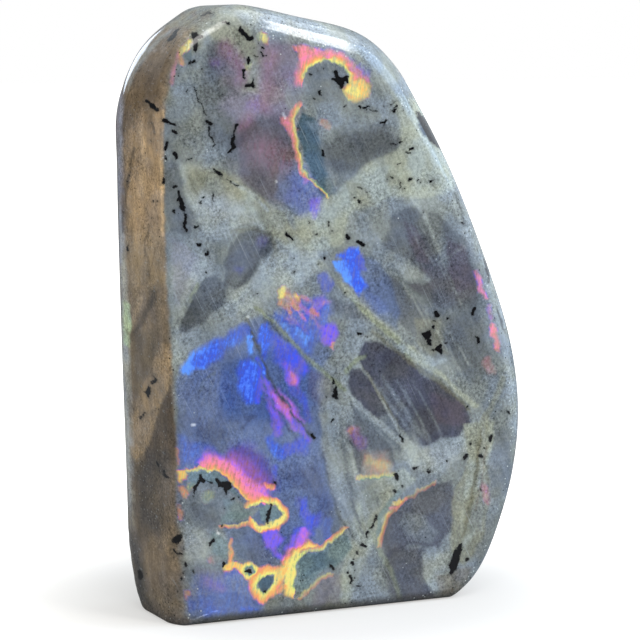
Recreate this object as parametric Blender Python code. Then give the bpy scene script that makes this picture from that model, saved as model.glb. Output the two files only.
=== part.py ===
"""Polished labradorite freeform: one solid stone that stands on a sawn, flat base.

The stone is a loft. Its outline is drawn in the XZ plane, as seen from the show face at -Y. Rings of
that outline are stacked from the show face to the back, each set in by the rounding of the rim. The
rounding changes on the way round: tight on the left arris and on the base, full on the top and the
right, and drawn out through the thickness at the back of the left side. The foot's left end is round
in plan too, the back is swelled, and the stone is thinned towards its top.
"""

import math
from typing import NamedTuple

import bmesh
import bpy
from mathutils import Vector

# Driving dimensions, in metres.
THICKNESS = 0.0290
BACK_SWELL = 0.0016
TOP_THINNING = 0.0010
BASE_ROUND = 0.0025
BASE_PULL = 0.0030
HEIGHT = 0.1200
HALF_WIDTH = 0.0405
CORNER_ROUND = 0.0065
CORNER_HEIGHT = 0.0400
CORNER_END = -0.0240
CORNER_REACH = 0.0130
HEEL_ROUND = 0.0125
HEEL_HEIGHT = 0.0260

# Facets: along each span of the outline, across each rounding, across the flank and over the back.
SPAN_STEPS = 5
BASE_STEPS = 6
ARC_STEPS = 6
FLANK_STEPS = 6
CAP_STEPS = 4

STONE = "labradorite_stone"
STONE_COLOUR = (0.23, 0.25, 0.26, 1.0)
STONE_ROUGHNESS = 0.12
SMOOTH_ANGLE = math.radians(35)


class Rim(NamedTuple):
    """A point of the outline and how the rim is worked there, in metres."""

    x: float
    z: float
    front: float
    back: float
    draft: float
    run: float


# The outline from the right end of the base, up the right side, over the top and down the left side.
# front and back are how far the two roundings of the rim are set in, draft is how far the show face is
# set in from the back, and run is how far through the thickness the back's rounding runs.
OUTLINE = (
    Rim(0.0224, 0.0000, BASE_ROUND, BASE_ROUND, 0.0000, BASE_ROUND),
    Rim(0.0285, 0.0040, 0.0032, 0.0040, 0.0000, 0.0040),
    Rim(0.0339, 0.0120, 0.0045, 0.0070, 0.0002, 0.0070),
    Rim(0.0384, 0.0250, 0.0050, 0.0090, 0.0004, 0.0090),
    Rim(0.0398, 0.0385, 0.0055, 0.0100, 0.0004, 0.0100),
    Rim(0.0376, 0.0525, 0.0058, 0.0100, 0.0002, 0.0100),
    Rim(0.0321, 0.0680, 0.0060, 0.0100, 0.0000, 0.0100),
    Rim(0.0244, 0.0860, 0.0064, 0.0100, 0.0000, 0.0100),
    Rim(0.0168, 0.1003, 0.0072, 0.0100, 0.0000, 0.0100),
    Rim(0.0110, 0.1092, 0.0080, 0.0100, 0.0000, 0.0100),
    Rim(0.0032, 0.1149, 0.0078, 0.0095, 0.0000, 0.0095),
    Rim(-0.0100, 0.1180, 0.0066, 0.0090, 0.0002, 0.0090),
    Rim(-0.0236, 0.1200, 0.0056, 0.0082, 0.0000, 0.0092),
    Rim(-0.0310, 0.1172, 0.0046, 0.0074, 0.0002, 0.0108),
    Rim(-0.0379, 0.1110, 0.0036, 0.0066, 0.0005, 0.0120),
    Rim(-0.0422, 0.1003, 0.0024, 0.0060, 0.0012, 0.0120),
    Rim(-0.0423, 0.0870, 0.0018, 0.0060, 0.0014, 0.0120),
    Rim(-0.0417, 0.0620, 0.0018, 0.0060, 0.0015, 0.0120),
    Rim(-0.0410, 0.0300, 0.0022, 0.0060, 0.0025, 0.0120),
    Rim(-0.0405, 0.0090, 0.0030, 0.0060, 0.0023, 0.0110),
    Rim(-0.0393, 0.0018, 0.0034, 0.0046, 0.0014, 0.0070),
    Rim(-0.0374, 0.0000, BASE_ROUND, BASE_ROUND, 0.0000, BASE_ROUND),
)


def hermite(start, end, leave, arrive, t):
    """The value a share t of the way from start to end, with those slopes at the two ends."""
    t2, t3 = t * t, t * t * t
    return (
        (2 * t3 - 3 * t2 + 1) * start
        + (t3 - 2 * t2 + t) * leave
        + (3 * t2 - 2 * t3) * end
        + (t3 - t2) * arrive
    )


def outline_rims():
    """The closed outline as Rims: a smooth curve through OUTLINE, then the straight base."""
    last = len(OUTLINE) - 1
    along_base = [BASE_PULL, 0.0, 0.0, 0.0, 0.0, 0.0]
    slopes = [along_base]
    for before, after in zip(OUTLINE, OUTLINE[2:]):
        slopes.append([(b - a) / 2 for a, b in zip(before, after)])
    slopes.append(along_base)
    rims = []
    for i in range(last):
        for step in range(SPAN_STEPS):
            ends = zip(OUTLINE[i], OUTLINE[i + 1], slopes[i], slopes[i + 1])
            rims.append(Rim(*(hermite(*four, step / SPAN_STEPS) for four in ends)))
    left, right = OUTLINE[-1], OUTLINE[0]
    for step in range(BASE_STEPS):
        share = step / BASE_STEPS
        rims.append(Rim(*(a + (b - a) * share for a, b in zip(left, right))))
    return rims


def inward(rims):
    """The unit normals of the outline in the XZ plane, pointing into the stone."""
    normals = []
    for i, rim in enumerate(rims):
        before, after = rims[i - 1], rims[(i + 1) % len(rims)]
        along = Vector((after.x - before.x, after.z - before.z)).normalized()
        if rim.z == 0.0:
            along = Vector((1.0, 0.0))
        normals.append(Vector((-along.y, along.x)))
    return normals


def section(rim):
    """(set-in, depth) of each ring at this rim, from the edge of the show face to the back's."""
    turns = [math.pi / 2 * step / ARC_STEPS for step in range(ARC_STEPS + 1)]
    flank = THICKNESS - rim.front - rim.run
    points = []
    for turn in turns:
        points.append((rim.front * (1 - math.sin(turn)), rim.front * (1 - math.cos(turn))))
    for step in range(1, FLANK_STEPS):
        points.append((0.0, rim.front + flank * step / FLANK_STEPS))
    for turn in turns:
        depth = THICKNESS - rim.run * (1 - math.sin(turn))
        points.append((rim.back * (1 - math.cos(turn)), depth))
    return [(inset + rim.draft * (1 - depth / THICKNESS), depth) for inset, depth in points]


def ease(t):
    """A smooth step from 0 at t = 0 to 1 at t = 1."""
    t = min(max(t, 0.0), 1.0)
    return t * t * (3 - 2 * t)


def drawn_in(radius, inside):
    """How far a corner of that radius is drawn in where it is that far inside its end."""
    short = min(max(radius - inside, 0.0), radius)
    return radius - math.sqrt(radius**2 - short**2)


def corner_bow(x, depth, z):
    """How far the lower left corners are drawn in, for a foot that is round in plan."""
    front = drawn_in(CORNER_ROUND * ease(1 - z / CORNER_HEIGHT), depth)
    heel = drawn_in(HEEL_ROUND * ease(1 - z / HEEL_HEIGHT), THICKNESS - depth)
    return (front + heel) * ease((CORNER_END - x) / CORNER_REACH)


def worked(x, depth, z):
    """A point of the slab after its foot is bowed, its back swelled and its top thinned."""
    x += corner_bow(x, depth, z)
    share = depth / THICKNESS
    swell = BACK_SWELL * (1 - (x / HALF_WIDTH) ** 2 - (2 * z / HEIGHT - 1) ** 2)
    thinning = TOP_THINNING * (z / HEIGHT) ** 2
    return Vector((x, depth + share**2 * (swell - thinning) - THICKNESS / 2, z))


def stone_rings():
    """Each ring from the show face to the back, then those that close in on the back's centre."""
    rims = outline_rims()
    sections = []
    for rim, (inward_x, inward_z) in zip(rims, inward(rims)):
        points = section(rim)
        sections.append([(rim.x + inward_x * d, depth, rim.z + inward_z * d) for d, depth in points])
    rings = [list(ring) for ring in zip(*sections)]
    edge = rings[-1]
    centre_x = sum(x for x, _, _ in edge) / len(edge)
    centre_z = sum(z for _, _, z in edge) / len(edge)
    for step in range(1, CAP_STEPS):
        share = step / CAP_STEPS
        rings.append([(x + (centre_x - x) * share, y, z + (centre_z - z) * share) for x, y, z in edge])
    centre = worked(centre_x, THICKNESS, centre_z)
    return [[worked(*point) for point in ring] for ring in rings], centre


def loft(rings, centre):
    """A closed mesh over the rings: the show face is one flat face, and the back fans in to its centre."""
    mesh = bmesh.new()
    rows = [[mesh.verts.new(point) for point in ring] for ring in rings]
    apex = mesh.verts.new(centre)
    count = len(rows[0])
    mesh.faces.new(rows[0])
    for low, high in zip(rows, rows[1:]):
        for i in range(count):
            j = (i + 1) % count
            mesh.faces.new((low[j], low[i], high[i], high[j]))
    for i in range(count):
        mesh.faces.new((rows[-1][(i + 1) % count], rows[-1][i], apex))
    bmesh.ops.recalc_face_normals(mesh, faces=mesh.faces)
    return mesh


def stand_over_origin(mesh):
    """Moves the stone along X and Y so that its bounding box stands centred over the origin."""
    xs = [vert.co.x for vert in mesh.verts]
    ys = [vert.co.y for vert in mesh.verts]
    shift = Vector((-(min(xs) + max(xs)) / 2, -(min(ys) + max(ys)) / 2, 0.0))
    bmesh.ops.translate(mesh, vec=shift, verts=mesh.verts)


def polished_stone():
    """The grey-green feldspar of the stone, with its polish."""
    material = bpy.data.materials.new("polished_labradorite")
    material.use_nodes = True
    shader = material.node_tree.nodes["Principled BSDF"]
    shader.inputs["Base Color"].default_value = STONE_COLOUR
    shader.inputs["Roughness"].default_value = STONE_ROUGHNESS
    shader.inputs["Metallic"].default_value = 0.0
    return material


def build_stone(collection):
    """Adds the stone, the object's only piece, to the collection."""
    mesh = loft(*stone_rings())
    stand_over_origin(mesh)
    data = bpy.data.meshes.new(STONE)
    mesh.to_mesh(data)
    mesh.free()
    data.materials.append(polished_stone())
    data.shade_smooth()
    data.set_sharp_from_angle(angle=SMOOTH_ANGLE)
    stone = bpy.data.objects.new(STONE, data)
    collection.objects.link(stone)
    return stone


def main():
    """Clears the scene and builds the stone."""
    for old in list(bpy.data.objects):
        bpy.data.objects.remove(old)
    collection = bpy.data.collections.new("labradorite_freeform")
    bpy.context.scene.collection.children.link(collection)
    build_stone(collection)


main()
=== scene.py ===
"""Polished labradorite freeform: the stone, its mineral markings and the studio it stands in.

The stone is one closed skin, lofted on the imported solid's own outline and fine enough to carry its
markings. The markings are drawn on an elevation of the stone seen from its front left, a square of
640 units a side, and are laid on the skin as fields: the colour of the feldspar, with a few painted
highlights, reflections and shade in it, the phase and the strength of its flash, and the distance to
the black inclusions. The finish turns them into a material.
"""

import logging
import math
from dataclasses import dataclass
from enum import Enum
from typing import NamedTuple

import bpy
import numpy as np
from mathutils import Matrix, Quaternion, Vector, noise
from mathutils.geometry import delaunay_2d_cdt


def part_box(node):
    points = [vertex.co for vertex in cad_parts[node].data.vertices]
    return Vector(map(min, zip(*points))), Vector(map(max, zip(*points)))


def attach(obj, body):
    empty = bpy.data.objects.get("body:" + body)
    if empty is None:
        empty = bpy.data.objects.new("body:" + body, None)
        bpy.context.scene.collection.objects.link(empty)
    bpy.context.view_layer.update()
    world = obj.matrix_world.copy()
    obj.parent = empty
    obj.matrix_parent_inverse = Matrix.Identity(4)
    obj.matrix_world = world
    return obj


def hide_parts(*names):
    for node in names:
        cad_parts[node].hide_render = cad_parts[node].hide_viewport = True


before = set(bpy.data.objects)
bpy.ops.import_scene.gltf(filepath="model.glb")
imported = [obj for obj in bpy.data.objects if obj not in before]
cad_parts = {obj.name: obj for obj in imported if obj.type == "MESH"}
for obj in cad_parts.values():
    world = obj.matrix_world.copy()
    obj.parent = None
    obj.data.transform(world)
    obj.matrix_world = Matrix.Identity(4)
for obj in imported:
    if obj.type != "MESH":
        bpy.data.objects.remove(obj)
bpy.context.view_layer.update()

log = logging.getLogger("labradorite")

# A place in a node tree to join to, two numbers that belong together, a display colour of 0 to 255,
# and a linear colour with its alpha.
Socket = bpy.types.NodeSocket
Pair = tuple[float, float]
Colour = tuple[int, int, int]
Light = tuple[float, float, float, float]

STONE = "labradorite_stone"
BODY = "root"
MM = 0.001
INK = (15, 15, 17)

# A distance beyond every mark in the drawing, and a number that keeps a division off zero.
FAR_OFF = 1e3
TINY = 1e-6


def srgb(red: float, green: float, blue: float) -> tuple[float, float, float]:
    """A display colour of 0 to 255 as linear light."""
    shares = (channel / 255 for channel in (red, green, blue))
    return tuple(s / 12.92 if s <= 0.04045 else ((s + 0.055) / 1.055) ** 2.4 for s in shares)


def opaque(colour: Colour) -> Light:
    """A display colour of 0 to 255 as linear light, with a full alpha."""
    return (*srgb(*colour), 1.0)


def rise(low: float, high: float, value: np.ndarray) -> np.ndarray:
    """A smooth step from 0 at low to 1 at high; low may be the larger of the two."""
    t = np.clip((value - low) / (high - low), 0, 1)
    return t * t * (3 - 2 * t)


def path(text: str) -> np.ndarray:
    """The points of a drawn line, written as "u,v u,v ..."."""
    return np.array([[float(part) for part in pair.split(",")] for pair in text.split()])


@dataclass(frozen=True)
class Sight:
    """Where the stone is seen from, and how it falls in the square it is drawn in."""

    azimuth: float = math.radians(-25.0)
    elevation: float = math.radians(6.5)
    distance: float = 0.493
    angle: float = math.radians(15.0)
    target: tuple[float, float, float] = (0.00066, 0.0, 0.0568)
    side: float = 640.0

    def axes(self) -> tuple[np.ndarray, np.ndarray, np.ndarray]:
        """The sight's own directions.

        Returns:
            The unit vectors to the right, upwards and back towards the eye.
        """
        level = math.cos(self.elevation)
        back = np.array(
            [
                math.sin(self.azimuth) * level,
                -math.cos(self.azimuth) * level,
                math.sin(self.elevation),
            ]
        )
        right = np.cross(-back, (0.0, 0.0, 1.0))
        right /= np.linalg.norm(right)
        return right, np.cross(right, -back), back

    def eye(self) -> np.ndarray:
        """The place the stone is seen from, in metres."""
        return np.array(self.target) + self.axes()[2] * self.distance

    def draw(self, points: np.ndarray) -> np.ndarray:
        """Where points of the stone fall in the drawing.

        Args:
            points: Rows of x, y, z in metres.

        Returns:
            Rows of u, v, with v downwards.
        """
        right, up, back = self.axes()
        away = points - self.eye()
        scale = self.side / 2 / math.tan(self.angle / 2) / (away @ -back)
        return np.stack([self.side / 2 + scale * (away @ right), self.side / 2 - scale * (away @ up)], 1)


class Rim(NamedTuple):
    """A point of the outline and how the rim is worked there, in metres."""

    x: float
    z: float
    front: float
    back: float
    draft: float
    run: float


BASE_ROUND = 0.0025

# From the right end of the base, up the right side, over the top and down the left side.
OUTLINE = (
    Rim(0.0224, 0.0000, BASE_ROUND, BASE_ROUND, 0.0000, BASE_ROUND),
    Rim(0.0285, 0.0040, 0.0032, 0.0040, 0.0000, 0.0040),
    Rim(0.0339, 0.0120, 0.0045, 0.0070, 0.0002, 0.0070),
    Rim(0.0384, 0.0250, 0.0050, 0.0090, 0.0004, 0.0090),
    Rim(0.0398, 0.0385, 0.0055, 0.0100, 0.0004, 0.0100),
    Rim(0.0376, 0.0525, 0.0058, 0.0100, 0.0002, 0.0100),
    Rim(0.0321, 0.0680, 0.0060, 0.0100, 0.0000, 0.0100),
    Rim(0.0244, 0.0860, 0.0064, 0.0100, 0.0000, 0.0100),
    Rim(0.0168, 0.1003, 0.0072, 0.0100, 0.0000, 0.0100),
    Rim(0.0110, 0.1092, 0.0080, 0.0100, 0.0000, 0.0100),
    Rim(0.0032, 0.1149, 0.0078, 0.0095, 0.0000, 0.0095),
    Rim(-0.0100, 0.1180, 0.0066, 0.0090, 0.0002, 0.0090),
    Rim(-0.0236, 0.1200, 0.0056, 0.0082, 0.0000, 0.0092),
    Rim(-0.0310, 0.1172, 0.0046, 0.0074, 0.0002, 0.0108),
    Rim(-0.0379, 0.1110, 0.0036, 0.0066, 0.0005, 0.0120),
    Rim(-0.0422, 0.1003, 0.0024, 0.0060, 0.0012, 0.0120),
    Rim(-0.0423, 0.0870, 0.0018, 0.0060, 0.0014, 0.0120),
    Rim(-0.0417, 0.0620, 0.0018, 0.0060, 0.0015, 0.0120),
    Rim(-0.0410, 0.0300, 0.0022, 0.0060, 0.0025, 0.0120),
    Rim(-0.0405, 0.0090, 0.0030, 0.0060, 0.0023, 0.0110),
    Rim(-0.0393, 0.0018, 0.0034, 0.0046, 0.0014, 0.0070),
    Rim(-0.0374, 0.0000, BASE_ROUND, BASE_ROUND, 0.0000, BASE_ROUND),
)


@dataclass(frozen=True)
class StoneSkin:
    """The polished skin of the stone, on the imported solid's outline and inside its box."""

    thickness: float = 0.0290
    back_swell: float = 0.0016
    top_thinning: float = 0.0010
    base_pull: float = 0.0030
    height: float = 0.1200
    half_width: float = 0.0405
    corner_round: float = 0.0065
    corner_height: float = 0.0400
    corner_end: float = -0.0240
    corner_reach: float = 0.0130
    heel_round: float = 0.0125
    heel_height: float = 0.0260
    pitch: float = 0.00050
    detail_pitch: float = 0.00020
    back_pitch: float = 0.00120
    front_steps: int = 14
    flank_steps: int = 26
    back_steps: int = 9

    def rims(self) -> np.ndarray:
        """The closed outline at the skin's pitch: a smooth curve through OUTLINE, then the base.

        Returns:
            Rows of x, z, front, back, draft and run.
        """
        marks = np.array(OUTLINE)
        pull = np.array([[self.base_pull, 0, 0, 0, 0, 0]])
        slopes = np.vstack([pull, (marks[2:] - marks[:-2]) / 2, pull])
        rows = []
        for i in range(len(marks) - 1):
            length = np.linalg.norm(marks[i + 1, :2] - marks[i, :2])
            steps = max(2, math.ceil(length / self.pitch))
            t = np.arange(steps)[:, None] / steps
            rows.append(
                (2 * t**3 - 3 * t**2 + 1) * marks[i]
                + (t**3 - 2 * t**2 + t) * slopes[i]
                + (3 * t**2 - 2 * t**3) * marks[i + 1]
                + (t**3 - t**2) * slopes[i + 1]
            )
        steps = math.ceil((marks[0, 0] - marks[-1, 0]) / self.pitch)
        share = np.arange(steps)[:, None] / steps
        rows.append(marks[-1] + (marks[0] - marks[-1]) * share)
        return np.vstack(rows)

    def inward(self, rims: np.ndarray) -> np.ndarray:
        """The unit normals of the outline in the XZ plane, pointing into the stone.

        Args:
            rims: Rows that start with x, z.

        Returns:
            Rows of x, z.
        """
        along = np.roll(rims[:, :2], -1, 0) - np.roll(rims[:, :2], 1, 0)
        along /= np.linalg.norm(along, axis=1, keepdims=True)
        along[rims[:, 1] == 0.0] = (1.0, 0.0)
        return np.stack([-along[:, 1], along[:, 0]], 1)

    def rings(self) -> np.ndarray:
        """The rings from the edge of the show face round to the back, before the back is worked.

        Returns:
            An array of ring, place on the ring, and x, depth, z.
        """
        rims = self.rims()
        inward = self.inward(rims)
        front, back, draft, run = rims[:, 2:].T
        sections = []
        for turn in np.linspace(0, math.pi / 2, self.front_steps + 1):
            sections.append((front * (1 - math.sin(turn)), front * (1 - math.cos(turn))))
        flank = self.thickness - front - run
        for step in range(1, self.flank_steps):
            sections.append((0 * front, front + flank * step / self.flank_steps))
        for turn in np.linspace(0, math.pi / 2, self.back_steps + 1):
            depth = self.thickness - run * (1 - math.sin(turn))
            sections.append((back * (1 - math.cos(turn)), depth))
        rings = []
        for inset, depth in sections:
            inset = inset + draft * (1 - depth / self.thickness)
            rings.append(
                np.stack([rims[:, 0] + inward[:, 0] * inset, depth, rims[:, 1] + inward[:, 1] * inset], 1)
            )
        return np.array(rings)

    def corner_bow(self, x: np.ndarray, depth: np.ndarray, z: np.ndarray) -> np.ndarray:
        """How far the lower left corners are drawn in, for a foot that is round in plan.

        Args:
            x: Each point's x.
            depth: How far each point is behind the show face.
            z: Each point's height.

        Returns:
            How far each point moves along X.
        """
        bow = 0.0 * x
        corners = (
            (self.corner_round, self.corner_height, depth),
            (self.heel_round, self.heel_height, self.thickness - depth),
        )
        for full, height, inside in corners:
            radius = full * rise(height, 0.0, z)
            short = np.clip(radius - inside, 0, radius)
            bow += radius - np.sqrt(radius**2 - short**2)
        return bow * rise(self.corner_end, self.corner_end - self.corner_reach, x)

    def worked(self, slab: np.ndarray) -> np.ndarray:
        """Points of the slab after its foot is bowed, its back swelled and its top thinned.

        Args:
            slab: Rows of x, depth, z.

        Returns:
            Rows of x, y, z.
        """
        x, depth, z = slab.T
        x = x + self.corner_bow(x, depth, z)
        swell = self.back_swell * (1 - (x / self.half_width) ** 2 - (2 * z / self.height - 1) ** 2)
        thinning = self.top_thinning * (z / self.height) ** 2
        bent = depth + (depth / self.thickness) ** 2 * (swell - thinning)
        return np.stack([x, bent - self.thickness / 2, z], 1)

    def lattice(self, edge: np.ndarray, pitch: float) -> np.ndarray:
        """The points of a staggered lattice that lie inside a closed edge, clear of it.

        Args:
            edge: Rows of x, z along the closed edge.
            pitch: Distance between neighbours.

        Returns:
            Rows of x, z.
        """
        low, high = edge.min(0), edge.max(0)
        row_pitch = pitch * math.sqrt(3) / 2
        rows = np.arange(low[1], high[1], row_pitch)
        columns = np.arange(low[0], high[0], pitch)
        x = (columns[None] + (np.arange(len(rows)) % 2)[:, None] * pitch / 2).ravel()
        z = np.repeat(rows, len(columns))
        inside = np.zeros(len(x), bool)
        near = np.full(len(x), np.inf)
        for (x0, z0), (x1, z1) in zip(edge, np.roll(edge, -1, 0)):
            if z0 != z1:
                crossed = (z0 > z) != (z1 > z)
                inside ^= crossed & (x < x0 + (z - z0) * (x1 - x0) / (z1 - z0))
            near = np.minimum(near, (x - x0) ** 2 + (z - z0) ** 2)
        keep = inside & (near > (0.6 * pitch) ** 2)
        return np.stack([x, z], 1)[keep]

    def at_depth(self, flat: np.ndarray, depth: float) -> np.ndarray:
        """Rows of x, z set at one depth of the slab."""
        return np.stack([flat[:, 0], np.full(len(flat), depth), flat[:, 1]], 1)

    def fill(self, edge: np.ndarray, inner: np.ndarray) -> list[tuple[int, ...]]:
        """Triangles over a closed edge and the points inside it.

        Args:
            edge: Rows of x, z along the closed edge.
            inner: Rows of x, z of the points inside.

        Returns:
            Triples of places in edge and then inner, anticlockwise as seen from -Y.
        """
        points = [Vector(point) for point in np.vstack([edge, inner]) / MM]
        loop = [list(range(len(edge)))]
        corners, _, faces, origins, _, _ = delaunay_2d_cdt(points, [], loop, 1, 1e-7)
        given = np.array(points)
        # Where the edge crosses itself in a tight corner, its nearest point stands for the crossing.
        for corner, origin in zip(corners, origins):
            if not origin:
                origin.append(int(np.argmin(np.hypot(*(given - np.array(corner)).T))))
        return [tuple(origins[corner][0] for corner in face) for face in faces]

    def build(self, markings: "Markings") -> bpy.types.Object:
        """Lofts the skin, closer where the markings are fine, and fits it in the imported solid's box.

        Args:
            markings: The markings, which say where the show face needs its close pitch.

        Returns:
            The stone, with one smooth mesh.
        """
        rings = self.rings()
        count = rings.shape[1]
        front_edge, back_edge = rings[0][:, (0, 2)], rings[-1][:, (0, 2)]
        back = self.at_depth(self.lattice(back_edge, self.back_pitch), self.thickness)
        outer = self.worked(np.vstack([rings.reshape(-1, 3), back]))
        own_low, own_high = outer.min(0), outer.max(0)
        box_low, box_high = (np.array(corner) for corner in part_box(STONE))

        def fitted(slab: np.ndarray) -> np.ndarray:
            """Points of the slab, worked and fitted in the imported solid's box."""
            return box_low + (self.worked(slab) - own_low) * (box_high - box_low) / (own_high - own_low)

        plain = self.at_depth(self.lattice(front_edge, self.pitch), 0.0)
        close = self.at_depth(self.lattice(front_edge, self.detail_pitch), 0.0)
        plain = plain[~markings.fine_at(fitted(plain))]
        front = np.vstack([plain, close[markings.fine_at(fitted(close))]])
        points = fitted(np.vstack([rings.reshape(-1, 3), front, back]))

        faces: list[tuple[int, ...]] = []
        place = np.arange(count)
        after = np.roll(place, -1)
        for ring in range(len(rings) - 1):
            low, high = ring * count, (ring + 1) * count
            strip = np.stack([low + after, low + place, high + place, high + after], 1)
            faces.extend(map(tuple, strip.tolist()))
        front_start = len(rings) * count
        for face in self.fill(front_edge, front[:, (0, 2)]):
            faces.append(tuple(i if i < count else i - count + front_start for i in face))
        back_start = front_start + len(front)
        last_ring = (len(rings) - 1) * count
        for face in self.fill(back_edge, back[:, (0, 2)]):
            faces.append(
                tuple(i + last_ring if i < count else i - count + back_start for i in reversed(face))
            )

        mesh = bpy.data.meshes.new("labradorite_skin")
        mesh.from_pydata(points.tolist(), [], faces)
        mesh.validate()
        mesh.shade_smooth()
        stone = bpy.data.objects.new("polished_labradorite_skin", mesh)
        bpy.context.scene.collection.objects.link(stone)
        return stone


class Tone(Enum):
    """The feldspar's colours where it does not flash, as display colours; a few also stand for painted
    highlights and reflections.
    """

    GREY = (126, 135, 138)
    PALE = (152, 161, 160)
    PALE_GREEN = (157, 165, 154)
    ICE = (163, 176, 182)
    OLIVE = (134, 136, 118)
    OLIVE_DARK = (104, 104, 88)
    SLATE = (90, 96, 103)
    DUSK = (68, 69, 82)
    PLUM = (86, 78, 90)
    MAUVE = (119, 110, 124)
    LILAC = (140, 136, 160)
    TEAL = (68, 91, 106)
    SEA = (108, 130, 134)
    NAVY = (66, 86, 126)
    STEEL = (92, 108, 140)
    SHADE = (62, 66, 70)
    WHITE = (214, 220, 220)
    TAN = (184, 158, 124)
    TAN_LIGHT = (206, 180, 144)
    WHEAT = (170, 151, 121)
    SAND = (156, 137, 110)
    UMBER = (128, 115, 98)
    UMBER_DARK = (92, 82, 71)
    RUSSET = (106, 88, 66)
    CLAY = (113, 103, 87)
    PEAT = (80, 75, 69)
    # Painted reflection: the pale and the green of the flank's far edge, where its rounding mirrors the
    # room.
    REFLECTED_PALE = (192, 198, 196)
    REFLECTED_GREEN = (206, 230, 190)
    MOSS = (128, 138, 112)
    PITCH = (38, 38, 46)

    @property
    def light(self) -> np.ndarray:
        """The tone as linear light."""
        return np.array(srgb(*self.value))


class Hue(Enum):
    """Where a flash colour lies along the stone's run of colours, from dead to azure."""

    TEAL = 0.08
    LIME = 0.20
    YELLOW = 0.29
    GOLD = 0.35
    ORANGE = 0.42
    ROSE = 0.51
    PINK = 0.58
    MAGENTA = 0.64
    VIOLET = 0.73
    INDIGO = 0.81
    BLUE = 0.88
    AZURE = 0.96


@dataclass(frozen=True)
class Area:
    """A patch of one tone inside a closed line of the drawing."""

    tone: Tone
    line: str
    strength: float = 0.8
    feather: float = 6.0


@dataclass(frozen=True)
class Seam:
    """A brushed line of one tone: a healed crack or a stain, and on the flank also painted highlights and
    reflections.
    """

    tone: Tone
    line: str
    radii: tuple[float, ...]
    strength: float = 0.8
    feather: float = 2.0


@dataclass(frozen=True)
class Glow:
    """A flash of one hue along a brushed line, or inside it where it is closed."""

    hue: Hue
    line: str
    strength: float
    radii: tuple[float, ...] = ()
    feather: float = 4.0


@dataclass(frozen=True)
class Fringe:
    """The coloured border of a dead patch. The stone flashes to the left of the line's travel.

    The colours run from first to last, most of the way within the width, and end at the reach.
    """

    line: str
    width: float
    strength: float
    last: Hue = Hue.MAGENTA
    first: Hue = Hue.LIME
    reach: float = 0.0


@dataclass(frozen=True)
class Speck:
    """A black inclusion: a chain of thick and thin places."""

    line: str
    radii: tuple[float, ...]


def speck(line: str, *radii: float) -> Speck:
    """A black inclusion along a line, with the radii of its thick and thin places."""
    return Speck(line, radii)


def along(points: np.ndarray, line: np.ndarray, radii: tuple[float, ...]) -> np.ndarray:
    """How far drawn points lie outside a brushed line.

    Args:
        points: Rows of u, v.
        line: The line's own points.
        radii: The brush's radius at each of them, or one for all.

    Returns:
        The distance of each point, below zero inside the line's breadth.
    """
    breadth = np.interp(np.linspace(0, 1, len(line)), np.linspace(0, 1, len(radii)), radii)
    if len(line) == 1:
        return np.hypot(*(points - line[0]).T) - breadth[0]
    distance = np.full(len(points), np.inf)
    for start, end, r0, r1 in zip(line, line[1:], breadth, breadth[1:]):
        run = end - start
        share = np.clip((points - start) @ run / (run @ run), 0, 1)
        gap = np.hypot(*(points - start - share[:, None] * run).T)
        distance = np.minimum(distance, gap - (r0 + (r1 - r0) * share))
    return distance


def within(points: np.ndarray, line: np.ndarray) -> np.ndarray:
    """How far drawn points lie outside a closed line.

    Args:
        points: Rows of u, v.
        line: The closed line's corners.

    Returns:
        The distance of each point, below zero inside the line.
    """
    inside = np.zeros(len(points), bool)
    for (u0, v0), (u1, v1) in zip(line, np.roll(line, -1, 0)):
        if v0 != v1:
            crossed = (v0 > points[:, 1]) != (v1 > points[:, 1])
            inside ^= crossed & (points[:, 0] < u0 + (points[:, 1] - v0) * (u1 - u0) / (v1 - v0))
    edge = along(points, np.vstack([line, line[:1]]), (0.0,))
    return np.where(inside, -edge, edge)


def across(points: np.ndarray, line: np.ndarray) -> np.ndarray:
    """How far drawn points lie from a line, and on which side.

    Args:
        points: Rows of u, v.
        line: The line's own points.

    Returns:
        The distance of each point, below zero to the right of the line's travel.
    """
    nearest = np.full(len(points), np.inf)
    signed = np.zeros(len(points))
    for start, end in zip(line, line[1:]):
        run = end - start
        offset = points - start
        share = np.clip(offset @ run / (run @ run), 0, 1)
        gap = np.hypot(*(offset - share[:, None] * run).T)
        left = (run[1] * offset[:, 0] - run[0] * offset[:, 1]) / np.hypot(*run)
        closer = gap < nearest
        signed[closer] = np.where(left >= 0, gap, -gap)[closer]
        nearest[closer] = gap[closer]
    return signed


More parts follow.
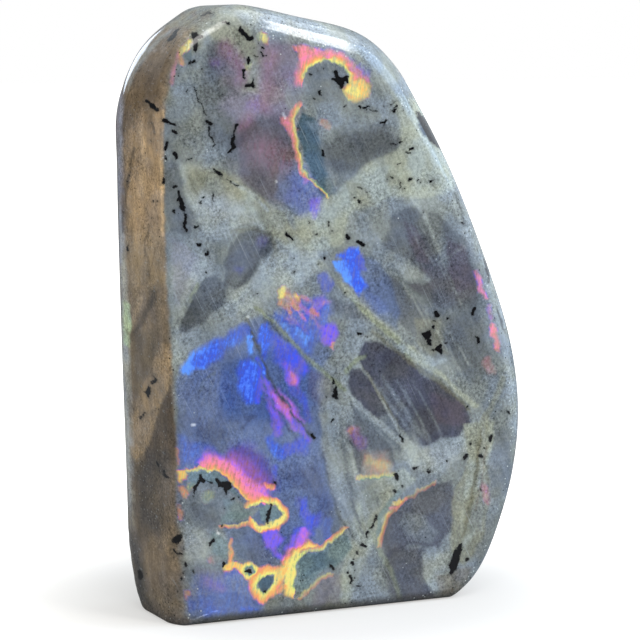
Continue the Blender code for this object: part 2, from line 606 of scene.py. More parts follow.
# The feldspar of the show face, from the broad domains down to the patches in them.
DOMAINS = (
    Area(
        Tone.OLIVE, "180,10 235,4 262,14 250,30 262,60 258,95 240,92 232,60 205,34 190,60 178,60", 0.55, 10
    ),
    Area(Tone.PALE, "205,8 300,14 360,36 400,80 380,85 340,42 250,28 215,24", 0.35, 8),
    Area(Tone.OLIVE_DARK, "165,95 200,95 208,130 222,150 215,165 180,165 166,150", 0.3, 20),
    Area(
        Tone.SLATE,
        "207,44 226,40 244,60 244,92 262,96 268,112 254,128 240,148 228,156 214,146 203,124 199,84",
        0.75, 18,
    ),
    Area(Tone.MAUVE, "222,42 244,52 248,84 238,92 222,84 216,66", 0.5, 22),
    Area(Tone.DUSK, "207,44 224,42 230,58 216,72 206,64", 0.4, 16),
    Area(Tone.LILAC, "230,92 262,92 268,108 252,122 232,120 222,106", 0.55, 24),
    Area(Tone.MAUVE, "260,40 302,44 300,112 286,128 262,112 258,70", 0.8, 24),
    Area(Tone.GREY, "282,78 304,78 306,108 288,112", 0.6, 6),
    Area(Tone.PLUM, "240,122 284,114 298,150 300,190 286,206 264,200 240,184 222,162 232,148", 0.72, 22),
    Area(Tone.GREY, "206,140 240,150 236,176 206,162", 0.5, 10),
    Area(Tone.STEEL, "280,160 300,160 324,186 326,206 314,220 292,212 276,196", 0.5, 9),
    Area(Tone.SLATE, "305,66 346,62 350,96 330,106 304,104", 0.45, 14),
    Area(Tone.GREY, "300,100 400,92 420,112 400,128 340,128 306,124", 0.6, 18),
    Area(Tone.OLIVE_DARK, "312,82 346,84 348,102 312,104", 0.32, 14),
    Area(Tone.TEAL, "300,112 314,118 322,142 326,170 340,196 326,200 312,178 303,156 296,132", 0.9, 6),
    Area(Tone.ICE, "306,122 340,124 344,146 322,140", 0.3, 8),
    Area(Tone.SLATE, "340,130 384,124 402,140 396,158 368,168 340,176 324,164 322,144", 0.8, 22),
    Area(Tone.SHADE, "352,136 384,130 392,144 366,156 348,150", 0.5, 20),
    Area(Tone.GREY, "326,176 350,170 352,196 338,214 326,206", 0.5, 8),
    Area(
        Tone.PALE_GREEN, "392,94 416,100 436,140 446,160 456,186 440,196 404,196 396,160 402,132", 0.75, 10
    ),
    Area(Tone.OLIVE, "392,160 420,158 430,180 404,190", 0.5, 8),
    Area(
        Tone.PALE,
        "180,166 214,164 240,184 264,204 290,226 300,240 286,246 262,226 236,226 226,240 206,236 196,214 "
        "184,190",
        0.8, 8,
    ),
    Area(Tone.OLIVE, "188,166 226,172 252,194 240,204 206,198 186,188", 0.75, 20),
    Area(Tone.PALE, "184,184 198,196 240,204 246,218 220,236 204,230 194,206", 0.6, 20),
    Area(Tone.PALE_GREEN, "238,186 282,214 300,236 292,252 268,234 246,212", 0.6, 9),
    Area(Tone.OLIVE, "258,196 286,214 296,240 312,250 296,256 270,232 250,206", 0.65, 10),
    Area(Tone.SLATE, "164,160 176,164 186,196 194,222 190,236 172,232 164,200", 0.65, 8),
    Area(Tone.GREY, "164,236 200,236 222,250 226,276 196,284 178,310 166,320", 0.4, 12),
    Area(Tone.LILAC, "172,236 200,256 198,282 178,306 172,280", 0.25, 10),
    Area(Tone.PALE, "200,250 216,256 212,276 196,284 180,330 172,338 180,300", 0.55, 7),
    Area(
        Tone.SLATE,
        "238,234 256,228 270,233 275,244 268,260 258,274 246,286 236,290 226,284 224,266 229,250",
        0.85, 4,
    ),
    Area(Tone.SHADE, "262,238 275,244 268,260 258,274 246,286 236,290 242,276 256,262", 0.5, 5),
    Area(Tone.SLATE, "188,288 214,274 230,288 222,306 200,330 180,336 178,322 188,304", 0.85, 6),
    Area(Tone.SHADE, "186,302 198,298 200,316 182,332 178,322", 0.4, 6),
    Area(
        Tone.PALE,
        "168,340 204,322 240,290 262,262 288,244 320,250 322,266 300,282 262,302 214,330 184,352 170,372",
        0.75, 8,
    ),
    Area(Tone.ICE, "258,258 292,250 312,262 300,280 262,290", 0.35, 18),
    Area(Tone.GREY, "176,338 224,310 240,312 206,338 180,356", 0.6, 8),
    Area(
        Tone.PALE_GREEN,
        "296,216 336,192 360,168 400,148 440,146 456,184 440,196 402,196 366,206 346,226 342,246 312,252 "
        "294,246",
        0.85, 9,
    ),
    Area(Tone.OLIVE, "346,180 360,182 378,206 366,212 350,198", 0.45, 7),
    Area(Tone.OLIVE, "290,228 310,224 316,240 300,250", 0.4, 6),
    Area(Tone.GREY, "346,216 366,206 400,200 408,214 398,252 372,262 352,246", 0.75, 9),
    Area(Tone.ICE, "404,192 450,188 462,216 474,246 462,238 440,214 410,210", 0.3, 9),
    Area(
        Tone.SLATE,
        "392,214 410,206 436,212 466,240 478,276 474,306 446,308 416,292 396,276 382,250",
        0.8, 9,
    ),
    Area(Tone.DUSK, "406,236 430,232 442,262 428,272 410,258", 0.5, 9),
    Area(Tone.PLUM, "404,270 470,262 474,300 440,304 412,288", 0.35, 10),
    Area(Tone.PLUM, "404,222 416,226 426,246 430,264 418,262 408,244", 0.5, 6),
    Area(Tone.GREY, "424,204 436,212 446,240 448,268 440,262 432,238 424,220", 0.5, 6),
    Area(Tone.PLUM, "446,236 462,244 476,270 476,290 456,290 446,266", 0.55, 7),
    Area(Tone.GREY, "372,244 390,250 410,262 431,279 424,284 404,282 386,270", 0.85, 3.5),
    Area(Tone.PALE, "392,260 410,266 428,279 408,280 396,272", 0.6, 4),
    Area(Tone.DUSK, "370,262 396,280 420,302 440,340 428,350 396,320 364,292", 0.5, 9),
    Area(Tone.STEEL, "356,254 382,262 392,286 400,312 396,330 372,310 358,290", 0.65, 8),
    Area(Tone.SLATE, "420,290 470,300 486,320 490,360 476,386 456,366 436,344 424,318", 0.6, 20),
    Area(Tone.SLATE, "446,316 482,318 486,350 470,372 452,352", 0.45, 9),
    Area(Tone.OLIVE, "416,318 440,320 446,352 430,356 416,340", 0.45, 7),
    Area(Tone.ICE, "462,206 478,236 496,282 508,322 514,372 508,372 498,330 486,296 468,252", 0.2, 6),
    Area(Tone.GREY, "454,366 478,388 480,408 460,392", 0.4, 7),
    Area(Tone.SLATE, "460,224 474,242 488,282 480,284 466,254", 0.45, 12),
    Area(Tone.PALE, "504,352 516,376 519,420 513,452 508,440 510,400", 0.6, 10),
    Area(
        Tone.STEEL,
        "176,376 200,350 238,326 264,314 300,322 336,352 320,372 318,410 322,440 334,482 346,516 330,548 "
        "296,566 262,568 236,556 222,528 176,520",
        0.72, 9,
    ),
    Area(Tone.NAVY, "218,362 262,350 300,352 318,376 306,420 262,424 222,416", 0.8, 26),
    Area(Tone.NAVY, "262,486 300,470 326,500 316,540 276,560 258,540", 0.35, 12),
    Area(Tone.SLATE, "178,384 214,388 226,420 210,436 178,430", 0.35, 20),
    Area(Tone.DUSK, "224,456 236,444 254,446 268,462 276,486 254,492 232,476", 0.95, 12),
    Area(Tone.DUSK, "250,538 292,534 294,564 264,572 244,560", 0.35, 16),
    Area(Tone.DUSK, "282,470 316,466 332,500 330,520 310,496 290,484", 0.35, 16),
    Area(Tone.SHADE, "196,428 226,430 232,452 212,458 196,444", 0.4, 9),
    Area(Tone.GREY, "320,300 342,318 378,334 366,356 348,368 332,352", 0.6, 7),
    Area(Tone.PALE, "352,334 376,334 372,350 354,360", 0.5, 6),
    Area(Tone.DUSK, "330,296 352,304 372,322 352,318 332,312", 0.45, 7),
    Area(
        Tone.DUSK,
        "364,340 392,346 412,362 424,376 448,388 470,410 470,424 460,436 440,440 424,446 404,430 388,412 "
        "374,394 360,368 358,356",
        0.92, 5,
    ),
    Area(Tone.SLATE, "368,362 394,362 410,392 430,436 412,440 392,414 376,388", 0.2, 9),
    Area(Tone.PLUM, "428,392 466,404 466,424 436,424", 0.55, 9),
    Area(Tone.DUSK, "350,371 362,369 372,388 388,412 376,420 354,397 348,385", 0.9, 4),
    Area(Tone.SLATE, "376,398 398,424 412,450 402,456 378,428", 0.5, 7),
    Area(Tone.PLUM, "306,366 330,380 336,396 322,410 310,396", 0.45, 8),
    Area(Tone.PALE, "318,380 346,380 352,410 336,432 320,428", 0.35, 8),
    Area(Tone.SLATE, "376,388 388,384 404,404 424,436 414,444 400,430 388,414", 0.45, 5),
    Area(
        Tone.PALE,
        "406,440 424,446 440,440 456,440 468,428 478,436 470,456 450,464 434,474 412,468 400,454",
        0.85, 5,
    ),
    Area(
        Tone.GREY,
        "320,400 334,404 350,424 362,446 364,480 362,500 358,536 346,540 336,510 326,470",
        0.75, 5,
    ),
    Area(Tone.SLATE, "352,404 366,420 392,448 396,466 380,460 364,444 354,426", 0.75, 5),
    Area(Tone.DUSK, "346,424 358,430 366,448 362,474 354,462 348,444", 0.55, 5),
    Area(Tone.GREY, "362,450 390,452 394,470 386,478 364,478", 0.5, 5),
    Area(
        Tone.PALE_GREEN,
        "358,492 384,478 404,468 416,480 390,508 376,540 362,566 350,606 326,608 342,566 350,536",
        0.75, 7,
    ),
    Area(Tone.GREY, "364,484 392,480 384,500 368,516", 0.4, 7),
    Area(Tone.OLIVE, "366,500 392,486 396,500 374,524 364,560 354,576 350,540", 0.4, 9),
    Area(
        Tone.DUSK,
        "398,503 432,484 452,482 456,500 450,530 440,548 408,544 386,560 380,540 386,516",
        0.75, 5,
    ),
    Area(Tone.GREY, "404,512 424,516 440,534 430,544 408,536 398,524", 0.45, 7),
    Area(Tone.DUSK, "398,544 426,548 432,564 426,582 432,596 400,602 388,592 380,566", 0.75, 8),
    Area(Tone.PALE, "424,552 450,554 450,584 432,592 422,572", 0.75, 7),
    Area(Tone.GREY, "352,560 384,552 390,600 352,606", 0.5, 9),
    Area(Tone.OLIVE, "452,500 466,468 488,466 490,500 482,542 466,566 450,552", 0.75, 6),
    Area(
        Tone.PALE_GREEN,
        "464,424 494,420 492,446 486,470 482,500 474,536 462,552 460,520 466,480 468,450",
        0.8, 4,
    ),
    Area(Tone.PALE, "470,492 484,500 480,530 468,524", 0.6, 5),
    Area(Tone.OLIVE_DARK, "462,500 484,494 480,526 464,536", 0.5, 9),
    Area(Tone.OLIVE, "466,428 490,426 486,448 476,462 466,450", 0.3, 6),
    Area(Tone.SLATE, "494,430 514,430 510,484 496,506 488,490 490,460", 0.4, 10),
    Area(Tone.CLAY, "436,576 472,566 466,592 440,598", 0.5, 7),
    Area(Tone.SLATE, "486,520 500,516 484,556 470,570", 0.4, 7),
    Area(
        Tone.GREY, "182,498 196,480 226,486 238,500 260,508 252,520 226,524 214,556 184,560 182,530", 0.9, 6
    ),
    Area(Tone.SLATE, "188,500 214,504 224,520 212,530 196,524", 0.55, 9),
    Area(Tone.SEA, "222,500 240,504 254,512 250,520 226,520", 0.5, 5),
    Area(Tone.PALE, "180,524 206,530 214,552 190,572 182,560", 0.75, 7),
    Area(Tone.SLATE, "190,506 216,516 222,534 206,536 190,520", 0.5, 7),
    Area(Tone.SEA, "220,514 252,512 240,522 222,524", 0.6, 5),
    Area(Tone.SEA, "186,470 216,470 232,486 240,498 224,488 200,478 188,492", 0.8, 4),
    Area(Tone.SEA, "212,532 228,540 226,560 212,552", 0.6, 6),
    Area(Tone.SEA, "258,508 268,503 278,507 282,516 272,524 262,520", 0.9, 3),
    Area(Tone.TEAL, "256,580 266,574 274,577 270,588 262,594", 0.9, 3),
    Area(Tone.SEA, "298,556 322,548 346,534 352,548 336,566 320,574 300,596 290,592 296,572", 0.85, 6),
    Area(Tone.TEAL, "300,556 322,552 338,560 320,570 300,580", 0.6, 7),
    Area(Tone.GREY, "186,562 212,566 216,590 196,600 180,590", 0.5, 8),
    Area(Tone.MAUVE, "196,566 224,572 224,592 200,590", 0.35, 8),
    Area(Tone.MAUVE, "318,580 340,574 342,604 312,606", 0.5, 8),
    Area(Tone.OLIVE_DARK, "262,598 300,592 310,608 262,612", 0.45, 7),
    Area(Tone.STEEL, "184,596 226,590 262,600 264,614 190,620", 0.6, 7),
    Area(Tone.PITCH, "414,110 424,116 434,132 441,150 430,143 421,130", 0.95, 2),
    Area(Tone.TEAL, "182,50 192,50 192,62 184,60", 0.6, 4),
    # Painted highlight: a soft white smear on the rounding of the top left corner.
    Area(Tone.WHITE, "196,34 204,30 214,28 210,33 200,36", 0.35, 3),
    Area(Tone.WHITE, "200,190 232,194 244,212 216,222 196,206", 0.16, 9),
    Area(Tone.WHITE, "424,446 456,446 458,460 434,466 420,456", 0.14, 7),
    Area(Tone.WHITE, "180,534 204,538 206,556 186,562", 0.16, 7),
)

SEAMS = (
    Seam(Tone.OLIVE_DARK, "372,332 394,348 412,364 436,380 462,402 470,410", (1.6, 2.6, 2, 1.2), 0.55),
    Seam(Tone.PALE_GREEN, "318,262 345,290 372,318 395,338 410,352", (3, 3.2, 3.6, 4.2), 0.75, 3),
    Seam(Tone.PALE_GREEN, "410,352 426,364 442,376 458,391 476,406", (6, 4, 2.2, 2.4, 3), 0.85, 3),
    Seam(Tone.MOSS, "352,300 374,320 396,340 412,360", (1.6, 2.4, 1.6), 0.55, 3),
    Seam(Tone.ICE, "400,346 416,356 436,362 444,360", (2.6, 3.4, 4, 2), 0.55, 4),
    Seam(
        Tone.PALE, "340,376 348,396 364,410 384,428 402,442 418,452", (3, 2.4, 2.2, 2.8, 3.4, 5), 0.85, 2.5
    ),
    Seam(Tone.PALE, "361,364 371,381 380,398 392,418 406,438 418,450", (1.2, 1, 1.2, 1.8, 2.4, 3), 0.8, 2),
    Seam(Tone.ICE, "374,382 390,404 408,428 424,446", (1, 1.6, 2, 1.6), 0.22, 5),
    Seam(Tone.ICE, "382,376 398,400 416,428 432,446", (1.2, 2.6, 2.6, 1.6), 0.24, 6),
    Seam(Tone.ICE, "396,380 412,406 428,434", (0.8, 1.2, 0.8), 0.2, 4),
    Seam(
        Tone.ICE, "330,402 331,430 336,470 344,506 352,530 360,548", (3.4, 4.2, 4.4, 4.2, 3.4, 2.4), 0.2, 4
    ),
    Seam(Tone.SLATE, "341,420 345,460 352,500 362,534", (1.4, 1.8, 1.6, 1), 0.6, 3),
    Seam(Tone.PALE, "350,446 356,476 364,506 370,530", (1.6, 2.2, 3, 3.4), 0.6, 3),
    Seam(Tone.SEA, "399,493 388,505 380,518 377,534", (2, 2.6, 2.4, 1.4), 0.7, 3),
    Seam(Tone.OLIVE_DARK, "363,366 372,382 383,400 396,420 404,434", (0.8, 1.4, 1.2, 0.8), 0.6, 2),
    Seam(Tone.MOSS, "346,372 356,360 366,356", (2.2, 2.6, 1.4), 0.7, 3),
    Seam(
        Tone.OLIVE,
        "504,378 496,398 486,416 481,440 479,466 474,492 467,516 461,544",
        (3, 3, 4, 5, 4, 4, 3, 3), 0.7, 4,
    ),
    Seam(Tone.PALE, "484,430 482,460 480,486", (2, 3, 2.4), 0.5, 3),
    Seam(
        Tone.OLIVE_DARK,
        "482,430 478,456 474,486 470,506 466,524 462,540",
        (1.2, 1.6, 2, 2, 1.6, 1), 0.75, 2.5,
    ),
    Seam(Tone.CLAY, "487,446 482,480 476,510", (1, 1.2, 1), 0.6, 2.5),
    Seam(Tone.MOSS, "256,308 275,322 292,341 310,360 330,377 344,390", (1.8, 1.9, 1.9, 2, 2.4), 0.75, 3),
    Seam(Tone.SHADE, "262,318 274,328 288,342", (1.2, 1.4, 1), 0.6, 2),
    Seam(
        Tone.SHADE,
        "248,322 253,338 262,354 266,372 276,390 292,414 312,436",
        (1, 1.8, 1.6, 1.8, 2, 1.6, 1.2), 0.7, 2,
    ),
    Seam(Tone.OLIVE_DARK, "246,318 250,330 256,346", (1.4, 1.6, 1), 0.5, 2),
    Seam(Tone.SHADE, "262,398 276,414 292,432 300,446", (1, 1.2, 1.4, 1), 0.5, 2),
    Seam(Tone.SLATE, "318,262 332,276 348,298 372,324", (1, 1.2, 1.4, 1), 0.4, 2),
    Seam(Tone.PALE, "322,440 330,474 336,506 348,532", (3, 3, 2.6, 2), 0.2, 4),
    Seam(Tone.SHADE, "322,452 330,486 340,518 356,540", (1.2, 1.2, 1.4, 1), 0.55, 3),
    Seam(Tone.OLIVE, "212,168 226,176 244,188 262,202", (1.4, 1.6, 1.4), 0.45, 3),
    Seam(Tone.ICE, "232,182 252,194 268,210", (1.6, 1.8, 1.4), 0.5, 3),
    Seam(Tone.OLIVE_DARK, "230,232 254,228 272,236 276,250 266,272", (1.6, 1.8, 2, 1.6, 1.4), 0.45, 3),
    Seam(Tone.SHADE, "246,418 254,416 246,424 240,430", (2.2, 1.6, 1.2), 0.6, 3),
    Seam(Tone.PALE, "200,282 192,294 186,308 176,330", (1.8, 1.6, 1.4, 1.4), 0.55, 3),
    Seam(Tone.MOSS, "198,284 193,292 190,300", (1.8, 1.8, 1.2), 0.5, 3),
    Seam(Tone.PALE, "402,282 414,300 428,326", (1, 1.4, 1), 0.5, 2),
    Seam(Tone.PALE, "424,310 444,344 468,384", (0.8, 1.2, 0.8), 0.5, 2),
    Seam(Tone.PALE, "438,318 458,346 478,380", (0.7, 1, 0.7), 0.45, 2),
    Seam(Tone.PALE, "424,212 436,240 446,272 462,306", (0.7, 1, 0.9, 0.6), 0.5, 2),
    Seam(Tone.PALE, "440,262 452,256 464,246", (0.6, 0.8, 0.6), 0.4, 2),
    Seam(Tone.ICE, "410,196 424,216 434,236", (0.8, 1.2, 0.8), 0.5, 2),
    Seam(Tone.PALE, "446,366 462,386 474,400", (1, 1.4, 1), 0.4, 2),
    Seam(Tone.GREY, "404,388 418,416 432,444", (0.8, 1.2, 0.8), 0.5, 2),
    Seam(Tone.GREY, "412,380 430,412 444,442", (0.8, 1, 0.8), 0.4, 2),
    Seam(Tone.GREY, "420,222 434,252 444,274", (0.8, 1.2, 0.8), 0.4, 2),
    Seam(Tone.GREY, "404,214 420,244 436,266", (0.8, 1.2, 0.8), 0.35, 2),
    Seam(Tone.MOSS, "368,522 378,548 390,570 402,600", (2, 2.4, 2), 0.4, 4),
    Seam(Tone.PITCH, "454,192 460,208 466,226", (1, 1.6, 1), 0.5, 2),
    Seam(Tone.PITCH, "483,258 487,270 490,282", (0.8, 1.8, 0.8), 0.9, 2),
    Seam(Tone.PITCH, "497,308 502,324 505,336", (0.6, 1.4, 0.6), 0.7, 2),
    Seam(Tone.WHITE, "191,424 194,424", (1.3, 0.9), 0.9, 1),
    Seam(Tone.WHITE, "250,317", (0.9,), 0.8, 1),
    Seam(Tone.WHITE, "217,533 219,535", (1.1, 0.7), 0.7, 1),
    Seam(Tone.WHITE, "283,114 285,117", (0.9, 0.6), 0.6, 1),
    Seam(Tone.WHITE, "275,181 276,184", (0.8, 0.6), 0.6, 1),
    Seam(Tone.WHITE, "268,309", (0.8,), 0.6, 1),
    Seam(Tone.WHITE, "338,498", (0.8,), 0.6, 1),
    Seam(Tone.WHITE, "209,473", (1,), 0.6, 1),
)

# The left flank, which shows the brown of the stone's weathered side, with painted reflections along
# its far edge and shoulder, a painted highlight on its front arris and painted shade at its foot.
FLANK = (
    Area(Tone.RUSSET, "112,40 176,40 168,84 164,150 150,108 142,132 132,112 124,150 112,128", 0.55, 22),
    Area(
        Tone.TAN,
        "124,150 132,128 141,112 148,126 156,104 165,108 166,236 150,262 130,250 124,180",
        0.85, 34,
    ),
    Area(Tone.WHEAT, "120,236 168,230 168,292 120,292", 0.65, 44),
    Area(Tone.UMBER, "116,292 176,280 178,352 116,352", 0.7, 36),
    Seam(Tone.WHEAT, "141,298 135,314 131,326", (3, 3, 1.6), 0.7, 3),
    Seam(Tone.PEAT, "154,292 149,308 142,320 135,332 129,344", (3, 3.4, 2.4, 2, 1), 0.7, 3),
    Area(Tone.CLAY, "130,334 158,330 156,352 138,394 128,384", 0.7, 7),
    Area(Tone.SAND, "160,344 176,344 172,374 164,400 150,440 138,462 128,450 134,404 150,372", 0.9, 5),
    Area(Tone.TAN, "162,352 174,350 170,376 160,384", 0.35, 6),
    Area(Tone.UMBER_DARK, "170,384 178,440 176,474 138,470 150,440 162,404", 0.95, 4),
    Area(Tone.PEAT, "132,462 168,456 164,532 134,540", 0.8, 40),
    Area(Tone.UMBER, "166,462 184,462 184,540 164,540", 0.55, 26),
    Area(Tone.UMBER, "148,540 188,524 188,590 150,596", 0.75, 40),
    Area(Tone.SAND, "162,546 184,534 184,584 168,594", 0.4, 30),
    Area(Tone.CLAY, "142,592 190,580 190,626 142,626", 0.6, 36),
    # Painted shade: a dark band along the foot of the flank, under the base rounding.
    Area(Tone.PEAT, "138,602 150,612 166,618 190,618 190,632 150,632 134,614", 0.75, 12),
    Area(Tone.SHADE, "129,530 141,548 151,608 134,600", 0.85, 24),
    # Painted reflection: lilac, pale and green bands along the flank's far edge, where its rounding mirrors
    # the room.
    Seam(Tone.LILAC, "120,92 118,130 118,170 119,214 121,262", (0.8, 3.2, 3.4, 3, 1.8), 0.95, 12),
    Seam(Tone.REFLECTED_PALE, "121,100 119,140 119,180 119,220 121,250", (0.4, 2.4, 2.6, 2.4, 1.6), 0.55, 10),
    Seam(
        Tone.REFLECTED_PALE,
        "120,214 123,262 125,300 126,350 126,400 127,440 129,480 132,530",
        (0.6, 2.6, 3.4, 3.6, 3.6, 3.4, 2.4, 0.4), 0.75, 7,
    ),
    Seam(Tone.REFLECTED_GREEN, "126,304 127,322 127,342", (3, 3.8, 3), 0.9, 4),
    # Painted highlight: the next line is a light stroke along the front arris, between the flank and the
    # show face.
    Seam(Tone.TAN_LIGHT, "164,110 162,150 162,190 163,236", (0.9, 1.8, 1.9, 1.2), 1, 2),
    Seam(Tone.TAN_LIGHT, "141,124 143,160 142,196", (2.4, 3, 1.6), 0.45, 6),
    Seam(Tone.UMBER_DARK, "134,148 130,170 126,192 123,216 121,234", (1.2, 1.6, 1.6, 1.6, 1), 0.75, 3),
    Seam(Tone.UMBER_DARK, "152,122 154,134", (1.2, 1), 0.7, 2),
    Seam(Tone.UMBER_DARK, "150,224 144,244 148,262", (1, 1.4, 0.8), 0.5, 4),
    Seam(Tone.UMBER_DARK, "158,242 152,262 146,284", (0.8, 1.2, 0.8), 0.5, 3),
    # Painted reflection: a pale blue gradient along the inside of the crescent highlight on the shoulder.
    Seam(Tone.ICE, "127,90 132,76 140,61 150,48 160,38 170,31", (1, 2, 2.4, 2.4, 2, 1.2), 0.45, 7),
    Seam(Tone.OLIVE, "168,24 182,20 194,26", (4, 5, 4), 0.6, 8),
)

